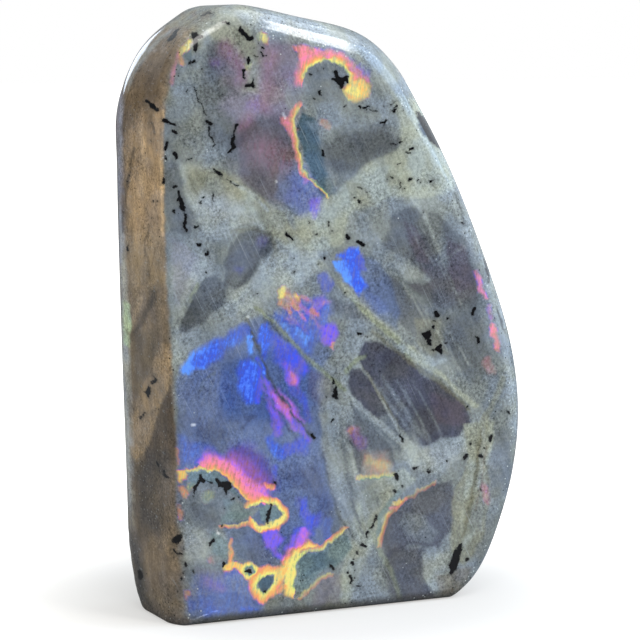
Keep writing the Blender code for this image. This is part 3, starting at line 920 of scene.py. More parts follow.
# The black inclusions, from the top down.
SPECKS = (
    speck("194,34 196,42 195,50", 2.4, 2.6, 1.8),
    speck("196,37 203,36", 1.8, 0.9),
    speck("190,63 194,61", 1.2, 1.6),
    speck("178,29 174,36 169,40", 0.9, 1.5, 0.9),
    speck("202,15 208,13 214,15", 0.6, 0.6, 0.7),
    speck("190,12 195,11", 0.5, 0.5),
    speck("224,22 230,24", 1.4, 1.2),
    speck("240,27 240,31 245,34 248,38 252,38", 0.9, 1.8, 1.8, 1.8, 1.4),
    speck("255,34", 0.8),
    speck("258,43", 0.8),
    speck("261,47 263,48", 1, 0.7),
    speck("261,52 262,55 266,56", 0.9, 0.9, 0.5),
    speck("254,48", 0.6),
    speck("254,55 257,57", 0.6, 0.5),
    speck("249,57 249,62", 0.9, 1.5),
    speck("244,70 244,78", 1.3, 0.6),
    speck("253,79 252,84", 0.8, 1.2),
    speck("246,86 251,84 253,86", 1.2, 1.6, 1.2),
    speck("201,69", 0.9),
    speck("178,74", 1),
    speck("186,92 187,90", 0.8, 0.5),
    speck("194,86 197,94 199,101 203,108 206,115", 0.5, 0.5, 0.6, 0.7, 0.5),
    speck("207,121 210,124", 1.2, 1.6),
    speck("208,127 210,136 214,143", 0.7, 0.8, 0.5),
    speck("213,147 216,145", 0.8, 0.6),
    speck("237,125 234,132 233,137", 1.2, 0.7, 1),
    speck("233,138 233,148", 1.6, 1.9),
    speck("231,150 228,152", 1.4, 0.8),
    speck("163,120 169,123 175,124", 1.6, 1.5, 0.9),
    speck("172,131 177,133", 1.4, 0.7),
    speck("167,143 165,149", 1.5, 1.5),
    speck("175,154 177,158", 1.6, 0.9),
    speck("165,157 166,160", 1, 0.7),
    speck("187,160 192,158", 0.7, 0.8),
    speck("174,187 176,186", 1.3, 1.1),
    speck("178,192 180,200 182,207 184,210", 0.9, 2, 2.2, 0.9),
    speck("174,212 175,211", 1.2, 0.7),
    speck("185,214 186,219 184,226 187,231", 1, 1.5, 1.5, 0.7),
    speck("195,227 199,226", 1.1, 0.7),
    speck("199,245", 1.7),
    speck("207,254 208,253", 1.7, 1.2),
    speck("206,272", 1),
    speck("203,197", 1.1),
    speck("201,201 200,204", 0.5, 0.4),
    speck("213,193 213,200", 0.5, 0.7),
    speck("214,170 218,173 222,175", 0.6, 1.5, 0.7),
    speck("226,179 230,182 234,184 238,186", 0.5, 0.7, 0.7, 0.5),
    speck("286,234 290,236 294,239", 0.9, 1.4, 0.8),
    speck("257,294", 0.9),
    speck("240,300", 0.7),
    speck("295,272", 1),
    speck("336,72 337,77 341,82 341,87", 1.4, 1.8, 3.2, 1.4),
    speck("333,79 338,80 345,79 348,82", 1.2, 2.2, 2.4, 1),
    speck("345,78 347,77", 1.4, 0.9),
    speck("310,74 311,75", 1, 0.8),
    speck("324,68", 1),
    speck("318,70", 0.5),
    speck("320,93 320,95", 1.3, 1),
    speck("321,91", 0.7),
    speck("314,99", 0.6),
    speck("344,107 346,106", 0.9, 0.5),
    speck("359,105 361,108", 1.1, 1.1),
    speck("364,108 369,107", 0.9, 1),
    speck("366,110 373,110 378,112", 0.6, 0.5, 0.4),
    speck("384,107", 0.5),
    speck("396,106 394,111", 1.2, 1.2),
    speck("391,105 396,100", 0.5, 0.5),
    speck("404,110", 1),
    speck("411,103 412,107", 0.6, 0.5),
    speck("381,122 384,122 386,120", 1, 1.2, 0.8),
    speck("384,125", 0.7),
    speck("357,122", 0.5),
    speck("399,143 403,142", 1, 0.8),
    speck("392,144 396,144", 0.5, 0.5),
    speck("410,149 413,149", 1, 1.1),
    speck("406,152 410,153", 0.6, 0.8),
    speck("322,151 323,154", 1.2, 1.4),
    speck("325,156", 0.8),
    speck("298,128", 0.9),
    speck("398,165 401,164", 0.8, 0.6),
    speck("390,176 393,178", 0.5, 0.9),
    speck("388,180", 0.6),
    speck("409,180 411,179", 1.4, 0.9),
    speck("417,180", 0.9),
    speck("421,183", 0.8),
    speck("431,182", 1.2),
    speck("400,182 401,186 400,189", 0.5, 0.6, 0.6),
    speck("404,189", 0.6),
    speck("366,192", 0.8),
    speck("357,187 361,189", 0.6, 0.5),
    speck("354,197", 0.7),
    speck("358,201 361,203", 0.7, 0.6),
    speck("424,213", 0.8),
    speck("457,211 458,213", 0.8, 0.5),
    speck("460,222 463,224", 0.7, 1.2),
    speck("299,191", 0.8),
    speck("328,222 329,225", 0.8, 0.8),
    speck("316,235 317,233", 0.8, 0.6),
    speck("310,222", 0.8),
    speck("332,231", 0.7),
    speck("347,236 348,238", 1.7, 2.2),
    speck("358,242 363,245", 1.4, 1.8),
    speck("324,258", 1.3),
    speck("319,264", 0.6),
    speck("436,314 438,315", 2, 1.6),
    speck("447,319", 1.3),
    speck("434,321", 0.7),
    speck("433,327", 1.5),
    speck("425,334 428,334 427,338", 2.2, 2.8, 2.6),
    speck("429,341 430,345", 1.6, 1),
    speck("440,346 438,349 441,352", 2.2, 2.2, 1.4),
    speck("433,350 435,351", 0.9, 0.6),
    speck("446,342", 1),
    speck("474,308 473,313", 1, 1.6),
    speck("475,304", 0.6),
    speck("477,338 478,342", 1.3, 1.4),
    speck("358,334 361,333", 1.3, 1.2),
    speck("367,336", 0.7),
    speck("345,293", 1.1),
    speck("332,378 334,383", 1, 0.7),
    speck("335,388 336,394", 1.6, 2.2),
    speck("334,396 337,398", 1.6, 1.3),
    speck("326,397", 0.8),
    speck("322,403", 0.7),
    speck("332,422 334,420", 1, 0.8),
    speck("312,434 314,438", 1.4, 1.2),
    speck("380,371", 0.8),
    speck("467,406", 1),
    speck("501,410", 0.9),
    speck("508,411 511,414", 1.4, 0.9),
    speck("400,435 403,441", 1, 1.1),
    speck("396,475 397,478", 1.8, 1.8),
    speck("399,471", 0.6),
    speck("414,469 417,468", 1.4, 0.9),
    speck("428,471 431,472", 1.2, 0.8),
    speck("402,486", 1.1),
    speck("392,491 396,491", 0.6, 0.8),
    speck("447,461", 1.1),
    speck("464,458 467,455 468,454", 1, 1.4, 1.2),
    speck("481,456", 2),
    speck("491,437 491,440", 1.6, 1.4),
    speck("484,448", 1.2),
    speck("471,444", 1),
    speck("481,490", 0.8),
    speck("460,546 457,556 453,566 452,572", 2.2, 3.2, 3.4, 2),
    speck("456,552 451,566", 1.6, 1.6),
    speck("467,560", 1.3),
    speck("377,515 374,523 371,528", 0.8, 0.9, 0.7),
    speck("368,532 367,537", 1.2, 0.8),
    speck("362,544 365,546", 1.3, 1.2),
    speck("357,552 358,555", 1.1, 0.7),
    speck("354,559", 0.8),
    speck("352,563 353,565", 1.2, 0.9),
    speck("348,572", 1.1),
    speck("354,570", 0.8),
    speck("350,576 352,580 351,583", 1, 1, 1.1),
    speck("355,578", 0.9),
    speck("357,586 361,586", 0.8, 0.6),
    speck("331,566 334,569", 1.2, 1.2),
    speck("303,580", 0.8),
    speck("193,496 195,489 198,483 200,480", 0.8, 1.2, 1.3, 1.6),
    speck("200,476 201,480 204,481", 1, 2, 1.2),
    speck("207,481 212,483", 0.6, 0.9),
    speck("217,480 220,484 226,486", 1.2, 2.4, 3),
    speck("224,482 228,484 228,488", 1.8, 2.4, 2),
    speck("226,490 226,494", 2, 0.7),
    speck("232,499 234,499", 1.1, 1.2),
    speck("239,497", 0.8),
    speck("224,508", 0.6),
    speck("196,527", 1.2),
    speck("190,522", 0.5),
    speck("222,526", 1.1),
    speck("271,505 269,512 268,517", 1, 1.7, 1.8),
    speck("267,519 268,523", 1.4, 0.6),
    speck("275,483", 1.7),
    speck("210,543 213,540", 1.4, 1.2),
    speck("210,545", 1),
    speck("174,541 178,539 181,535", 2.4, 3.4, 1.6),
    speck("175,543 178,543", 1.6, 1.6),
    speck("174,549 174,551", 1, 0.8),
    speck("176,553 179,554 182,553", 0.7, 0.9, 0.8),
    speck("183,549", 1.1),
    speck("185,563 186,565", 0.9, 1.3),
    speck("193,570 193,572", 1, 1.2),
    speck("187,571 184,573", 0.6, 0.6),
    speck("183,573 182,577 180,582", 1.2, 1.2, 0.8),
    speck("178,590 178,594", 0.6, 0.6),
    speck("224,563 223,567", 1.6, 0.9),
    speck("247,571 250,571", 1.3, 1.4),
    speck("263,591 266,591", 0.8, 0.9),
)

# The black inclusions of the flank.
FLANK_SPECKS = (
    speck("147,101 152,105 157,110", 1, 1.9, 1.4),
    speck("163,178 163,183", 1.4, 1.3),
    speck("153,201", 1.2),
    speck("158,202", 0.9),
    speck("128,245 127,251 125,256", 0.6, 0.9, 0.5),
    speck("129,175", 1.2),
    speck("127,181", 0.8),
    speck("123,128 124,130", 0.8, 0.6),
    speck("151,141", 0.7),
    speck("152,382 155,380 157,379", 1.6, 1.6, 0.8),
    speck("149,386 148,392 149,398", 1, 2.4, 0.6),
    speck("145,391 150,390", 0.9, 1.4),
    speck("153,376 155,375", 0.7, 0.5),
    speck("140,418 143,415 145,413", 1.1, 0.8, 1.2),
    speck("153,413 156,410", 0.6, 0.6),
    speck("166,453", 1.2),
    speck("157,461 159,466", 0.7, 1.3),
    speck("163,471 164,474 168,478 171,479", 1.2, 0.9, 1.1, 0.6),
    speck("138,477", 0.9),
    speck("140,572 141,577", 2.2, 2.6),
)

# The flash, laid on in this order: the live domains, what lies dead in them, then their borders.
FLASHES = (
    Glow(Hue.PINK, "226,46 238,62 242,80", 0.13, (6,), 16),
    Glow(Hue.MAGENTA, "216,62", 0.16, (4,), 12),
    Glow(Hue.MAGENTA, "254,104", 0.22, (6,), 16),
    Glow(Hue.PINK, "272,52 268,80 265,108", 0.12, (5,), 18),
    Glow(Hue.MAGENTA, "290,80", 0.13, (6,), 16),
    Glow(Hue.ROSE, "262,150 280,160", 0.1, (14,), 26),
    Glow(Hue.PINK, "240,128 250,118", 0.14, (4,), 14),
    Glow(Hue.INDIGO, "286,196 300,176 312,180 324,196 320,214 302,216", 0.2, (), 12),
    Glow(Hue.BLUE, "296,180 308,184", 0.26, (6,), 12),
    Glow(Hue.VIOLET, "310,200 322,198 320,209 313,218 310,210", 0.62, (), 4),
    Glow(Hue.MAGENTA, "306,180", 0.5, (3,), 5),
    Glow(Hue.INDIGO, "234,246 262,242 264,256 250,268 242,280 230,276 229,260", 0.02, (), 8),
    Glow(Hue.INDIGO, "239,270", 0.22, (3.6,), 7),
    Glow(Hue.VIOLET, "262,241", 0.15, (5,), 9),
    Glow(
        Hue.BLUE,
        "180,376 206,346 240,326 264,318 304,330 322,372 318,440 336,500 320,552 262,560 238,540 262,520 "
        "222,456 180,452",
        0.1, (), 14,
    ),
    Glow(Hue.AZURE, "186,370 196,361 204,355", 1.4, (5, 8, 7), 7),
    Glow(Hue.BLUE, "200,362 212,352 222,344", 1.05, (7, 8, 6), 9),
    Glow(Hue.BLUE, "222,346 234,338 244,330", 0.75, (5, 6, 5), 10),
    Glow(Hue.BLUE, "206,380 214,372", 0.5, (3, 2), 4),
    Glow(Hue.BLUE, "226,378 232,402", 0.18, (8, 8), 14),
    Glow(Hue.BLUE, "241,362 248,358 257,365 258,385 256,402 249,403 243,396 238,386", 1.25, (), 9),
    Glow(Hue.AZURE, "250,336 251,351", 1.2, (2.6, 3), 4),
    Glow(Hue.INDIGO, "259,358 260,380 256,402", 1.1, (2, 2.4, 2.6), 3),
    Glow(Hue.BLUE, "263,362 266,384", 1.1, (2.6, 2.2), 3),
    Glow(Hue.BLUE, "262,324 268,321 271,340 267,362 261,356 259,338", 0.95, (), 4),
    Glow(Hue.INDIGO, "271,332 300,350 308,366 305,376 294,378 282,370 274,356", 0.8, (), 9),
    Glow(Hue.INDIGO, "290,354 306,356 308,372 294,375", 1.15, (), 4),
    Glow(Hue.BLUE, "276,314 300,302 326,296 332,312 322,332 309,352 294,346 282,328", 0.62, (), 11),
    Glow(Hue.AZURE, "296,330 312,330 306,346", 0.8, (), 5),
    Glow(Hue.VIOLET, "320,326 336,324 337,336 331,348 325,346 320,338", 1, (), 5),
    Glow(Hue.VIOLET, "311,300 325,293 328,304 318,312 310,318", 0.7, (), 7),
    Glow(Hue.ROSE, "312,310 318,316", 0.55, (3, 2), 4),
    Glow(Hue.ROSE, "286,296 296,304", 0.35, (5, 5), 9),
    Glow(Hue.ORANGE, "333,344 332,350", 0.7, (1.8, 1.2), 3),
    Glow(Hue.PINK, "304,297 310,300", 0.5, (1.8, 1.4), 4),
    Glow(Hue.ORANGE, "286,306 290,312", 0.5, (1.4, 1.6), 4),
    Glow(Hue.MAGENTA, "312,318 320,326", 0.45, (2.4, 2), 5),
    Glow(Hue.PINK, "286,318 292,324", 0.4, (1.8, 1.6), 5),
    Glow(Hue.AZURE, "284,324 290,334", 0.5, (2, 1.6), 5),
    Glow(Hue.ROSE, "300,314 306,322", 0.45, (1.6, 1.2), 4),
    Glow(Hue.VIOLET, "302,326 308,332", 0.5, (2.4, 2), 5),
    Glow(Hue.PINK, "322,306 328,300", 0.4, (1.6, 1.4), 4),
    Glow(Hue.INDIGO, "318,276 326,273 336,286 330,292 320,290", 0.45, (), 5),
    Glow(Hue.YELLOW, "281,290 283,296", 0.9, (3.4, 3), 3),
    Glow(Hue.GOLD, "297,295 299,299", 0.8, (2.4, 2), 3),
    Glow(Hue.ORANGE, "291,303 296,308", 0.55, (2, 1.8), 4),
    Glow(Hue.MAGENTA, "302,304 308,314", 0.6, (2.4, 2), 4),
    Glow(Hue.PINK, "298,312 303,318", 0.6, (1.6, 1.4), 3),
    Glow(Hue.VIOLET, "290,316 298,326", 0.6, (2.4, 2.4), 4),
    Glow(Hue.GOLD, "288,296 291,300", 0.5, (1.6, 1.2), 3),
    Glow(Hue.ORANGE, "282,303", 0.7, (2,), 3),
    Glow(Hue.VIOLET, "286,364 291,376 296,390", 0.85, (4, 6, 4), 5),
    Glow(Hue.PINK, "292,374 293,384", 0.8, (3, 2.4), 4),
    Glow(Hue.INDIGO, "294,388 304,402 310,420", 0.5, (4, 4, 3), 5),
    Glow(Hue.VIOLET, "296,372 304,358", 0.5, (3, 3), 7),
    Glow(Hue.VIOLET, "264,382 272,400 280,430", 0.85, (5, 5, 4), 6),
    Glow(Hue.MAGENTA, "277,394 286,408 298,424", 1.15, (4.5, 7.5, 6), 8),
    Glow(Hue.PINK, "281,400 291,414", 0.55, (2.4, 2.4), 7),
    Glow(Hue.VIOLET, "296,422 304,434 308,440", 0.7, (5, 4, 3), 4),
    Glow(Hue.VIOLET, "274,424 276,434", 0.6, (3,), 4),
    Glow(Hue.INDIGO, "286,450 300,446", 0.65, (6, 8), 6),
    Glow(Hue.BLUE, "270,440 276,452 282,456", 0.85, (4, 4, 3), 8),
    Glow(Hue.BLUE, "180,438 214,448 206,465 181,467", 0.5, (), 12),
    Glow(Hue.VIOLET, "210,452 222,458", 0.4, (5,), 6),
    Glow(
        Hue.VIOLET,
        "222,462 232,446 250,444 260,456 268,466 278,482 272,492 252,498 238,488 224,472",
        0.42, (), 14,
    ),
    Glow(Hue.MAGENTA, "232,456 244,464 258,480", 0.55, (5, 7, 7), 12),
    Glow(Hue.PINK, "224,465 236,476 250,487 262,491", 1.1, (3, 5, 6, 4), 9),
    Glow(Hue.INDIGO, "276,468 275,476", 0.7, (3, 2), 4),
    Glow(Hue.ORANGE, "264,484 272,487", 1, (1.6, 2.8), 3),
    Glow(Hue.VIOLET, "264,532 276,527 282,538 274,554 266,546", 1.15, (), 7),
    Glow(Hue.VIOLET, "278,554 286,562", 0.9, (3, 3), 4),
    Glow(Hue.INDIGO, "298,499 305,498 312,514 323,514 319,523 312,530 301,520", 0.85, (), 7),
    Glow(Hue.INDIGO, "298,532 310,530", 0.8, (4, 4), 6),
    Glow(Hue.MAGENTA, "305,532 298,546 290,560", 1.25, (5, 6, 5), 5),
    Glow(Hue.VIOLET, "294,538 288,548", 0.9, (4, 4), 6),
    Glow(Hue.ROSE, "292,550 288,559", 0.9, (3, 3), 5),
    Glow(Hue.BLUE, "326,522 326,536", 0.35, (4,), 6),
    Glow(Hue.INDIGO, "228,577 236,576", 0.8, (5, 4), 6),
    Glow(Hue.BLUE, "196,576 240,572 254,590 262,612 206,618 188,610", 0.28, (), 14),
    Glow(Hue.VIOLET, "208,582 222,588", 0.35, (6, 5), 8),
    Glow(Hue.BLUE, "189,600 195,598 196,608 190,609", 0.45, (), 6),
    Glow(Hue.BLUE, "202,596 216,602 224,612 206,618 200,608", 0.5, (), 9),
    Glow(Hue.BLUE, "238,607 261,608 252,614 240,613", 0.7, (), 5),
    Glow(Hue.ORANGE, "190,593 186,598", 0.5, (1.8, 1.4), 3),
    Glow(Hue.ROSE, "211,560", 0.25, (4,), 5),
    Glow(Hue.AZURE, "334,260 346,260 354,278 364,292 350,287 340,276", 1.45, (), 4),
    Glow(Hue.BLUE, "336,254 345,250 357,248 362,262 360,276 366,290 360,296 350,284 346,262", 1.25, (), 4),
    Glow(Hue.INDIGO, "359,256 362,268", 0.7, (3, 3), 4),
    Glow(Hue.BLUE, "366,298 382,308", 0.16, (5,), 10),
    Glow(
        Hue.TEAL, "258,308 266,318 276,327 287,338 298,351 312,364 330,378", 0, (1.6, 2.6, 2.8, 2.6, 2), 2
    ),
    Glow(
        Hue.TEAL,
        "246,318 250,330 255,343 261,356 267,372 277,390 292,412 314,438",
        0, (1.2, 1.5, 1.6, 1.5), 2,
    ),
    Glow(Hue.TEAL, "258,360 262,378 266,394 280,414 296,434", 0, (0.7, 0.9, 0.8), 2),
    Glow(Hue.TEAL, "214,372 206,380 198,390", 0, (2, 2.4, 2), 4),
    Glow(Hue.PINK, "350,427 358,430 360,440 354,444", 0.35, (), 6),
    Glow(Hue.MAGENTA, "352,432 362,444", 0.22, (4, 5), 10),
    Glow(Hue.ORANGE, "350,433 352,429", 0.6, (1.4, 1.2), 2.5),
    Glow(Hue.ORANGE, "366,454 386,454 391,474 364,474", 0.24, (), 12),
    Glow(Hue.GOLD, "370,460 384,466", 0.4, (4, 5), 6),
    Glow(Hue.TEAL, "362,480 394,478 388,488 366,490", 0, (), 3),
    Fringe("362,480 372,480 392,477", 4, 0.5, Hue.ORANGE, Hue.TEAL),
    Glow(Hue.PINK, "477,272 480,286 485,297", 0.75, (1.8, 3, 2.2), 3),
    Glow(Hue.MAGENTA, "489,306 491,318", 0.5, (2, 2), 3),
    Glow(Hue.ROSE, "493,324 494,336 498,350", 0.75, (2, 3.2, 1.8), 3),
    Glow(Hue.ROSE, "488,362 490,372", 0.18, (5, 4), 6),
    Glow(Hue.PINK, "485,486 487,502", 0.35, (3, 2), 5),
    Glow(Hue.YELLOW, "190,41 184,47 180,53", 0.95, (3.2, 4, 2.2), 3),
    Glow(Hue.ORANGE, "181,58 184,64", 0.55, (1.8, 2), 3),
    Glow(Hue.PINK, "178,52 174,66 172,82", 0.7, (2, 2.4, 2), 4),
    Glow(Hue.YELLOW, "263,36 265,40", 0.85, (3, 2.6), 3),
    Glow(Hue.ORANGE, "268,43", 0.5, (1.6,), 3),
    Glow(Hue.LIME, "258,36", 0.4, (2.4,), 4),
    Glow(Hue.LIME, "248,66", 0.3, (4,), 5),
    Glow(Hue.ROSE, "293,45 305,46 316,50 320,56 306,63 303,68 298,58", 0.9, (), 3),
    Glow(Hue.TEAL, "308,69 320,62 336,61 346,70 350,88 344,102 306,100", 0, (), 3),
    Fringe("344,92 349,100 356,100", 4, 0.5),
    Fringe("305,78 308,68 318,62 328,60 340,64 348,74 350,86", 8, 0.9),
    Glow(Hue.GOLD, "350,82 360,76 370,86 368,96 354,101 346,96 344,90", 0.88, (), 6),
    Glow(Hue.YELLOW, "348,90 356,92", 0.9, (3, 4), 3),
    Glow(Hue.PINK, "352,68 362,74 370,82", 0.6, (2, 2.4, 1.6), 3),
    Glow(Hue.VIOLET, "358,66 368,74", 0.4, (2,), 4),
    Glow(Hue.PINK, "318,52 330,56", 0.8, (2.6, 2.2), 3),
    Glow(Hue.ROSE, "280,116 290,118 296,130 294,140 286,128", 0.62, (), 4),
    Glow(Hue.TEAL, "300,110 304,130 308,150 314,166 328,190 350,190 350,140 330,112", 0, (), 3),
    Fringe("306,172 303,164 301,154 298,140 296,128 294,118 300,108", 4.6, 0.72, Hue.PINK),
    Fringe("328,196 320,186 311,178 305,170", 2, 0.6, Hue.ORANGE, Hue.TEAL),
    Glow(Hue.ORANGE, "324,122 328,128", 0.28, (3,), 4),
    Glow(Hue.TEAL, "180,472 200,471 222,476 238,492 252,508 244,520 222,526 184,524 182,496", 0, (), 3),
    Glow(Hue.GOLD, "179,472 185,474 180,479", 1.2, (2.6, 3.2, 2.4), 3),
    Glow(Hue.ORANGE, "182,489 186,494", 0.8, (3.4, 3), 4),
    Glow(Hue.LIME, "190,486", 0.4, (3,), 4),
    Glow(Hue.LIME, "209,497", 0.28, (5,), 5),
    Glow(Hue.ORANGE, "180,506 181,518", 0.6, (1.6, 1.4), 3),
    Glow(Hue.ORANGE, "177,450 179,462", 0.5, (1.4, 1.8), 3),
    Fringe("186,472 194,473 202,470 208,472 213,469", 2.4, 0.8, Hue.ORANGE, Hue.LIME, 3.6),
    Fringe("211,470 224,474 233,484 240,494 248,500 256,503", 9, 1.15, Hue.MAGENTA, Hue.GOLD, 16),
    Fringe("254,523 246,521 236,525 222,525", 3, 0.75, Hue.ROSE, Hue.YELLOW),
    Glow(Hue.TEAL, "236,508 252,508 266,503 279,507 283,516 274,522 262,524 252,520 238,521", 0, (), 2),
    Fringe(
        "250,507 257,505 266,502 275,504 280,509 284,516 281,521 274,524 264,527 258,526 254,521",
        4.4, 1.15, Hue.ROSE,
    ),
    Glow(Hue.YELLOW, "256,526 259,532", 1.2, (2.4, 1.8), 3),
    Glow(Hue.YELLOW, "262,527 272,524 282,519", 1.2, (2.4, 2.8, 3), 3),
    Glow(Hue.ORANGE, "232,540 231,552 230,563", 1, (1.4, 1.8, 2), 3),
    Glow(Hue.GOLD, "226,568 233,565 240,567 242,572", 1.2, (2.6, 3.4, 3.4, 2.4), 3),
    Fringe("250,575 246,571 248,568 252,569 254,572 250,575", 4.4, 1.1, Hue.ORANGE, Hue.TEAL),
    Glow(Hue.TEAL, "258,580 266,574 275,576 271,588 263,594", 0, (), 2),
    Fringe("262,594 257,586 260,579 268,574 275,575 274,582 270,589 262,594", 6.5, 1.25, Hue.ROSE),
    Glow(Hue.GOLD, "279,578 284,570 288,562", 1.25, (4.4, 5, 3.6), 5),
    Glow(Hue.ORANGE, "276,592 286,586", 0.8, (2.4, 2.4), 3),
    Glow(Hue.TEAL, "296,560 306,552 322,552 346,536 344,556 320,574 300,596 294,590", 0, (), 3),
    Fringe("294,590 293,580 295,568 300,557 310,551", 8, 1.3, Hue.ORANGE, Hue.LIME, 9),
    Glow(Hue.YELLOW, "290,583 290,572 293,562", 1.25, (3, 4.2, 3.4), 3),
    Fringe("304,553 322,550 334,541 345,531", 3.6, 0.7, Hue.ROSE),
    Fringe("330,574 320,576 308,588 300,596", 3, 0.4, Hue.ROSE),
    Fringe("434,482 418,490 402,500", 2.6, 0.3, Hue.ROSE, Hue.YELLOW),
    Fringe("402,500 393,507 385,517 381,528 377,544", 3.4, 0.55, Hue.ROSE, Hue.YELLOW),
    Glow(Hue.GOLD, "393,503 399,500", 0.85, (2, 1.8), 3),
    Glow(Hue.ROSE, "391,509 398,505", 0.7, (1.8, 1.6), 3),
)


@dataclass(frozen=True)
class Fields:
    """The markings at each vertex of the skin."""

    body: np.ndarray
    phase: np.ndarray
    strength: np.ndarray
    inclusion: np.ndarray
    flank: np.ndarray

    def lay_on(self, mesh: bpy.types.Mesh) -> None:
        """Stores the fields on the mesh, for its finish to read.

        Args:
            mesh: The skin's mesh.
        """
        colours = mesh.attributes.new("body", "FLOAT_COLOR", "POINT")
        rgba = np.concatenate([self.body, np.ones((len(self.body), 1))], 1)
        colours.data.foreach_set("color", rgba.astype(np.float32).ravel())
        layers = {
            "flash_phase": self.phase,
            "flash_strength": self.strength,
            "inclusion": self.inclusion,
            "flank": self.flank,
        }
        for name, values in layers.items():
            layer = mesh.attributes.new(name, "FLOAT", "POINT")
            layer.data.foreach_set("value", values.astype(np.float32))


class Stir(NamedTuple):
    """A wander of drawn points: how far they move, the length of its waves, and its seed."""

    reach: float
    period: float
    seed: float


@dataclass(frozen=True)
class Markings:
    """The stone's drawn markings, and how they go on through its body.

    The flank has its own markings. Those of the show face go on over the rims, and past the drawn depth
    they run on through the stone, leaning as its cracks do, to the right side and the back. Apart from
    the lean, a pair is a smooth step's two ends: a part of the outward normal, a depth or a height in
    metres.
    """

    sight: Sight
    show_plane: float
    drawn_depth: float = 0.006
    lean: Pair = (-0.42, -0.30)
    left_turn: Pair = (0.15, 0.55)
    flank_turn: Pair = (0.30, 0.78)
    flank_wander: float = 0.16
    back_turn: Pair = (0.80, 0.50)
    far_depth: Pair = (0.004, 0.012)
    far_flash: float = 0.5
    sight_turn: Pair = (-0.02, -0.22)
    rim_turn: Pair = (0.96, 0.70)
    rim_fade: float = 0.85
    speck_depth: Pair = (0.002, 0.009)
    speck_reach: float = 6.0
    speck_fine: float = 2.2
    speck_margin: float = 1.8
    fringe_fine: float = 3.0
    foot: Pair = (0.0026, 0.0010)
    foot_shade: float = 0.6
    comb: float = 1.4
    soft: tuple[Stir, ...] = (Stir(3.6, 16.0, 3.1),)
    crisp: tuple[Stir, ...] = (Stir(1.6, 9.0, 7.7), Stir(0.6, 3.5, 1.3))
    glow_edge: tuple[Stir, ...] = (Stir(3.4, 10.0, 5.9), Stir(1.5, 4.0, 2.2))
    fringe_edge: tuple[Stir, ...] = (Stir(2.4, 8.0, 4.4),)
    speck_edge: tuple[Stir, ...] = (Stir(1.6, 4.0, 8.8), Stir(0.8, 1.8, 2.9))
    noise_seed: int = 7

    def fine_at(self, points: np.ndarray) -> np.ndarray:
        """Which points of the show face need the skin's close pitch.

        Args:
            points: Rows of x, y, z in metres.

        Returns:
            True for each point near an inclusion or a fringe.
        """
        drawn = self.sight.draw(points)
        fine = np.zeros(len(points), bool)
        for speck in SPECKS:
            gap = self.patch(drawn, speck.line, speck.radii, self.speck_fine + self.speck_margin)
            fine |= gap < self.speck_fine
        for flash in FLASHES:
            if isinstance(flash, Fringe):
                reach = flash.width + self.fringe_fine
                fine |= self.patch(drawn, flash.line, (0.0,), reach + 1) < reach
        return fine

    def patch(self, drawn: np.ndarray, line: str, radii: tuple[float, ...], margin: float) -> np.ndarray:
        """How far drawn points lie outside a brushed line, or a closed one where it has no radii.

        Args:
            drawn: Rows of u, v.
            line: The line as it is drawn.
            radii: The brush's radii, or none for a closed line.
            margin: How far out the distance matters; further off it is left as infinite.

        Returns:
            The distance of each point, below zero inside.
        """
        points = path(line)
        room = margin + max(radii, default=0.0)
        near = np.all((drawn > points.min(0) - room) & (drawn < points.max(0) + room), 1)
        distance = np.full(len(drawn), np.inf)
        if near.any():
            inside = drawn[near]
            distance[near] = along(inside, points, radii) if radii else within(inside, points)
        return distance

    def stirred(self, drawn: np.ndarray, stirs: tuple[Stir, ...]) -> np.ndarray:
        """The drawn points, each moved a little, so that drawn edges come out ragged.

        Args:
            drawn: Rows of u, v.
            stirs: The wanders, broad ones first.

        Returns:
            Rows of u, v.
        """
        for reach, period, seed in stirs:
            moved = [noise.noise_vector((u / period, v / period, seed))[:2] for u, v in drawn]
            drawn = drawn + np.array(moved) * reach
        return drawn

    def combed(self, drawn: np.ndarray) -> np.ndarray:
        """The drawn points, each moved a little along the lamellae, which stand nearly upright.

        Args:
            drawn: Rows of u, v.

        Returns:
            Rows of u, v.
        """
        moved = []
        for u, v in drawn:
            fine = noise.noise((u / 2.4, v / 16.0, 6.3))
            broad = noise.noise((u / 6.0, v / 40.0, 1.7))
            moved.append(fine + 0.6 * broad)
        return drawn + np.array(moved)[:, None] * (0.1 * self.comb, self.comb)

    def over(self, share: np.ndarray, body: np.ndarray, tone: Tone) -> np.ndarray:
        """The body colours with that share of a tone laid over them."""
        return body + (tone.light - body) * share[:, None]

    def feldspar(self, drawn: np.ndarray, flank: np.ndarray, turned: np.ndarray) -> np.ndarray:
        """The colours of the feldspar at the drawn points, with the painted highlights, reflections and
        shade among its marks.

        Args:
            drawn: Rows of u, v.
            flank: How far each point belongs to the flank, 0 to 1.
            turned: How far each point has turned out of sight, 0 to 1.

        Returns:
            Rows of linear red, green and blue.
        """
        soft, crisp = self.stirred(drawn, self.soft), self.stirred(drawn, self.crisp)
        body = np.repeat(Tone.GREY.light[None], len(drawn), 0)
        body = self.over(flank, body, Tone.UMBER)
        for marks, own in ((DOMAINS + SEAMS, 1 - flank), (FLANK, flank)):
            for mark in marks:
                ragged = crisp if isinstance(mark, Seam) or mark.feather < 5 else soft
                radii = mark.radii if isinstance(mark, Seam) else ()
                gap = self.patch(ragged, mark.line, radii, mark.feather + 1)
                share = rise(mark.feather * 0.3, -mark.feather * 0.3, np.minimum(gap, FAR_OFF))
                seen = own * (1 - turned) if mark.tone is Tone.PITCH else own
                body = self.over(share * mark.strength * seen, body, mark.tone)
        return body

